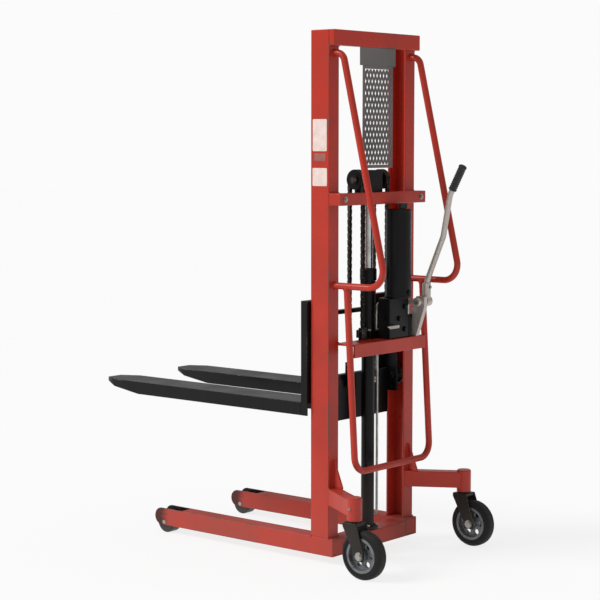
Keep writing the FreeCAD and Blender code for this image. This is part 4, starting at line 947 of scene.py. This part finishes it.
def make_welds():
    """Weld beads where the frame's pieces and the forks were joined, under their paint."""
    size, fine = 4 * MM, 3 * MM
    tube_radius, hoop_setback = 12.5 * MM, 62 * MM
    bead_crease = math.radians(80)
    inner, outer = COLUMN_LOW.x, COLUMN_HIGH.x
    leg_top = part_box("left_leg")[1].z
    beam_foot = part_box("top_beam")[0].z
    tie_low, tie_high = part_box("upper_tie")
    shelf_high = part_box("pump_shelf")[1]
    gusset_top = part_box("left_outrigger")[1].z
    handle_low, handle_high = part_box("left_push_handle")
    level_seams = [
        # column foot on the leg, at the rear and in front
        (inner, outer, REAR, leg_top, size),
        (inner, outer, COLUMN_LOW.y, leg_top, size),
        # top and foot of the outrigger's tube on the column
        (inner + size, outer - size, REAR, ARM_TOP, size),
        (inner + size, outer - size, REAR, ARM_FOOT, size),
        # top beam, upper tie and pump shelf on the column
        (inner, outer - fine, REAR, beam_foot, fine),
        (inner, outer - fine, REAR, tie_low.z, fine),
        (inner, outer - fine, REAR, tie_high.z, fine),
        (inner, shelf_high.x, REAR, shelf_high.z, fine),
    ]
    upright_seams = [
        # sides of the outrigger's tube
        (outer - fine, ARM_FOOT, ARM_TOP, size),
        (inner + fine, ARM_FOOT, ARM_TOP, size),
        # both sides of the gusset
        (COLUMN_X - GUSSET_THICK / 2, ARM_TOP, gusset_top - size, fine),
        (COLUMN_X + GUSSET_THICK / 2, ARM_TOP, gusset_top - size, fine),
    ]
    drop_maker = bmesh.new()
    bmesh.ops.create_icosphere(drop_maker, subdivisions=1, radius=1)
    drop = to_shape(drop_maker)
    bm = bmesh.new()
    for side in SIDES.values():
        for start, end, y, z, bead_size in level_seams:
            bead(bm, drop, (side * start, y, z), (side * end, y, z), bead_size)
        for x, foot, top, bead_size in upright_seams:
            bead(bm, drop, (side * x, REAR, foot), (side * x, REAR, top), bead_size)
        for level in (handle_high.z - tube_radius, handle_low.z + tube_radius):
            ring_bead(bm, drop, (side * COLUMN_X, REAR, level), Y_AXIS, tube_radius + MM, fine)
        hoop_end = (side * COLUMN_X, REAR + hoop_setback, handle_low.z - MM)
        ring_bead(bm, drop, hoop_end, Z_AXIS, tube_radius, fine)
    to_piece("frame_weld_beads", bm, "frame", RED, crease=bead_crease)

    fork_beads = bmesh.new()
    for node in ("left_fork", "right_fork"):
        low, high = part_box(node)
        bead(fork_beads, drop, (low.x + size, high.y, high.z), (high.x - size, high.y, high.z), size)
    to_piece("fork_weld_beads", fork_beads, "carriage", BLACK_FORKS, crease=bead_crease)


def make_labels():
    """Blank labels on the left column's outer face."""
    film, corner = 0.5 * MM, 4 * MM
    middle_y = (COLUMN_LOW.y + COLUMN_HIGH.y) / 2
    # width, height and the middle's level in millimetres
    labels = {
        "upper_blank_label": (66, 117, 1597, LABEL),
        "small_blank_label": (54, 28, 1517, SMALL_LABEL),
        "lower_blank_label": (68, 66, 1444, LABEL),
    }
    for name, (width, height, level, vinyl) in labels.items():
        bm = bmesh.new()
        size = Vector((film, width * MM, height * MM))
        matrix = Matrix.Translation((COLUMN_HIGH.x + film / 2, middle_y, level * MM))
        bmesh.ops.create_cube(bm, size=1, matrix=matrix @ Matrix.Diagonal((*size, 1)))
        through = [edge for edge in bm.edges
                   if abs((edge.verts[0].co - edge.verts[1].co).x) > film / 2]
        round_edges(bm, through, corner, 5)
        to_piece(name, bm, "frame", vinyl)


def bolt_washer():
    """The washer under a bolt's head or nut."""
    bore, radius, thick = 4, 11, 1.8
    return turned([(bore, 0), (radius - 0.5, 0), (radius, 0.4), (radius, thick), (bore, thick)],
                  steps=40, closed=True)


def clevis_pin():
    """A headed pin, along Z about its middle, that holds a chain's end."""
    half, radius, head_radius, head = 17.5, 4.5, 6.5, 2.5
    return turned([(0, -half), (head_radius, -half), (head_radius, head - half),
                   (radius, head - half), (radius, half), (0, half)], steps=24)


def make_frame_fasteners():
    """Washers for the upper tie's bolts, pins in the chains' fixed ends, and grease nipples."""
    washer, pin = bolt_washer(), clevis_pin()
    nipple = turned([(0, 0), (5, 0), (5, 4), (3, 4.5), (2.4, 8), (3.2, 9.5), (2.6, 12), (0, 12.4)],
                    steps=16)
    nipple_level, nipple_sunk = 258 * MM, 1.5 * MM
    tie_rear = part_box("upper_tie")[1].y
    tie_level = middle_of("upper_tie").z
    anchor_y = middle_of("rear_chain_anchors").y
    pin_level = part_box("rear_chain_anchors")[1].z - PIN_DROP
    arm_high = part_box("left_outrigger")[1]
    housing_y = arm_high.y - HOUSING_RADIUS * MM
    bm = bmesh.new()
    for side in SIDES.values():
        stamp(bm, washer, facing((side * COLUMN_X, tie_rear, tie_level), Y_AXIS))
        stamp(bm, pin, facing((side * CHAIN_X, anchor_y, pin_level), X_AXIS))
        nipple_foot = (side * (arm_high.x - nipple_sunk), housing_y, nipple_level)
        stamp(bm, nipple, facing(nipple_foot, X_AXIS * side))
    to_piece("frame_washers_pins_nipples", bm, "frame", ZINC)


def make_pump_plugs():
    """Hexagon plugs with a flange in the pump block, and the oil tank's drain plug."""
    flange_radius, flange_thick = 11.5, 2
    flange = turned([(0, 0), (flange_radius, 0), (flange_radius, flange_thick), (0, flange_thick)],
                    steps=32)
    head = hexagon(19, 6)
    low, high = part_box("pump_block")
    # from the block's left side and from its foot, in millimetres
    rear_plugs = ((96, 32), (96, 118), (60, 75))
    relief_height, drain_height, drain_sunk = 85 * MM, 22 * MM, 0.5 * MM
    seats = [(Vector((high.x - across * MM, high.y, low.z + up * MM)), Y_AXIS)
             for across, up in rear_plugs]
    relief = Vector((high.x, (low.y + high.y) / 2, low.z + relief_height))
    seats.append((relief, X_AXIS))
    bm = bmesh.new()
    for seat, outward in seats:
        stamp(bm, flange, facing(seat, outward))
        stamp(bm, head, facing(seat + outward * flange_thick * MM, outward))
    tank_low, tank_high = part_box("oil_reservoir")
    drain = ((tank_low.x + tank_high.x) / 2, tank_high.y - drain_sunk, tank_low.z + drain_height)
    stamp(bm, head, facing(drain, Y_AXIS))
    to_piece("pump_plugs", bm, "frame", BLACK)


def make_carriage_fasteners():
    """Pins in the chains' moving ends, with a washer and two nuts under each of their lugs."""
    washer, pin = bolt_washer(), clevis_pin()
    nut = hexagon(21, 9)
    nut_drops = (2, 13)
    lug_drop = 70 * MM
    anchor_y = middle_of("front_chain_anchors").y
    anchor_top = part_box("front_chain_anchors")[1].z
    bm = bmesh.new()
    for side in SIDES.values():
        stamp(bm, pin, facing((side * CHAIN_X, anchor_y, anchor_top - PIN_DROP), X_AXIS))
        lug_foot = Vector((side * CHAIN_X, anchor_y, anchor_top - lug_drop))
        stamp(bm, washer, facing(lug_foot, -Z_AXIS))
        for drop in nut_drops:
            stamp(bm, nut, facing(lug_foot - Z_AXIS * drop * MM, -Z_AXIS))
    to_piece("carriage_nuts_and_pins", bm, "carriage", ZINC)


def make_clamp_screw():
    """The screw that clamps the lever in the rocker's socket."""
    sunk, below_mouth = 3.5 * MM, 16 * MM
    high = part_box("pump_rocker")[1]
    bm = bmesh.new()
    stamp(bm, hexagon(13, 5), facing((LEVER_X, high.y - sunk, high.z - below_mouth), Y_AXIS))
    to_piece("lever_clamp_screw", bm, "pump_lever", ZINC)


def make_ram_seal():
    """The wiper seal in the mouth of the cylinder's gland."""
    ram_fit, seal_radius, seat_depth, lip = 17.9, 24, 2, 3.2
    mouth = middle_of("cylinder_gland")
    mouth.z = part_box("cylinder_gland")[1].z
    seal = turned([(ram_fit, -seat_depth), (seal_radius, -seat_depth), (seal_radius, 1), (20, 2.6),
                   (ram_fit, lip)], closed=True)
    bm = bmesh.new()
    stamp(bm, seal, Matrix.Translation(mouth))
    to_piece("ram_wiper_seal", bm, "frame", RUBBER)


def dress_other_nodes():
    """Gives the nodes that stay as they are their finish."""
    for node, obj in frame["nodes"].items():
        finish = OWN_FINISH.get(node, FINISH.get(SLOT_OF[node]))
        if finish is not None:
            obj.material_slots[0].material = finish


make_rounded_nodes()
make_legs()
make_outriggers()
make_pump_body()
make_rocker()
make_release_lever()
make_reservoir()
make_tyres()
make_axles()
make_grip()
make_filler_cap()
make_mesh_guard()
make_chains()
make_welds()
make_labels()
make_frame_fasteners()
make_pump_plugs()
make_carriage_fasteners()
make_clamp_screw()
make_ram_seal()
dress_other_nodes()


# Stage, light and camera

def make_floor():
    """A pale floor that keeps a soft shadow and is white to the camera and in reflections."""
    reach, whiteness = 40, 0.8
    bm = bmesh.new()
    bmesh.ops.create_grid(bm, x_segments=1, y_segments=1, size=reach)
    mesh = bpy.data.meshes.new("floor")
    bm.to_mesh(mesh)
    bm.free()
    material, shader = new_material("matt_white_floor", Roughness=0.9)
    plug(material, shader, {"Base Color": linear("#FFFFFF")})
    white = add(material, "Emission", {"Color": linear("#FFFFFF"), "Strength": 1.0})
    camera_ray = add(material, "LightPath", {}, "Is Camera Ray")
    glossy_ray = camera_ray.node.outputs["Is Glossy Ray"]
    seen = add(material, "Math", {0: camera_ray, 1: glossy_ray}, operation="MAXIMUM")
    share = add(material, "Math", {0: seen, 1: whiteness}, operation="MULTIPLY")
    mixed = add(material, "MixShader", {"Fac": share, 1: shader.outputs["BSDF"], 2: white})
    plug(material, material.node_tree.nodes["Material Output"], {"Surface": mixed})
    mesh.materials.append(material)
    floor = bpy.data.objects.new("floor", mesh)
    bpy.context.scene.collection.objects.link(floor)


def make_world():
    """A plain sky that lights the object, and that the camera sees as pale as the floor."""
    world = bpy.data.worlds.new("studio")
    world.use_nodes = True
    nodes = world.node_tree.nodes
    camera_ray = add(world, "LightPath", {}, "Is Camera Ray")
    backdrop = add(world, "Background", {"Color": linear("#FBFBFB")})
    sky = nodes["Background"]
    plug(world, sky, {"Color": linear("#FFFFFF"), "Strength": 0.42})
    seen = add(world, "MixShader", {"Fac": camera_ray, 1: sky.outputs["Background"], 2: backdrop})
    plug(world, nodes["World Output"], {"Surface": seen})
    bpy.context.scene.world = world


def make_sun():
    """Soft light from high on the photograph's left, which leaves the rear faces in half shade."""
    towards = Vector((0.62, -0.45, 0.64))
    data = bpy.data.lights.new("soft_sun", "SUN")
    data.energy = 2.0
    data.angle = math.radians(25)
    sun = bpy.data.objects.new("soft_sun", data)
    sun.rotation_euler = towards.to_track_quat("Z", "Y").to_euler()
    bpy.context.scene.collection.objects.link(sun)


def make_camera():
    """The camera at the photograph's viewing angle."""
    place = Vector((5.2146, 4.4172, 1.5717))
    azimuth, pitch, view_angle = math.radians(129.78), math.radians(5.2), math.radians(19.62)
    data = bpy.data.cameras.new("camera")
    data.sensor_width = 36
    data.angle = view_angle
    camera = bpy.data.objects.new("camera", data)
    camera.location = place
    camera.rotation_euler = (math.pi / 2 - pitch, 0, azimuth)
    bpy.context.scene.collection.objects.link(camera)
    bpy.context.scene.camera = camera


make_floor()
make_world()
make_sun()
make_camera()
bpy.context.scene.view_settings.view_transform = "Standard"
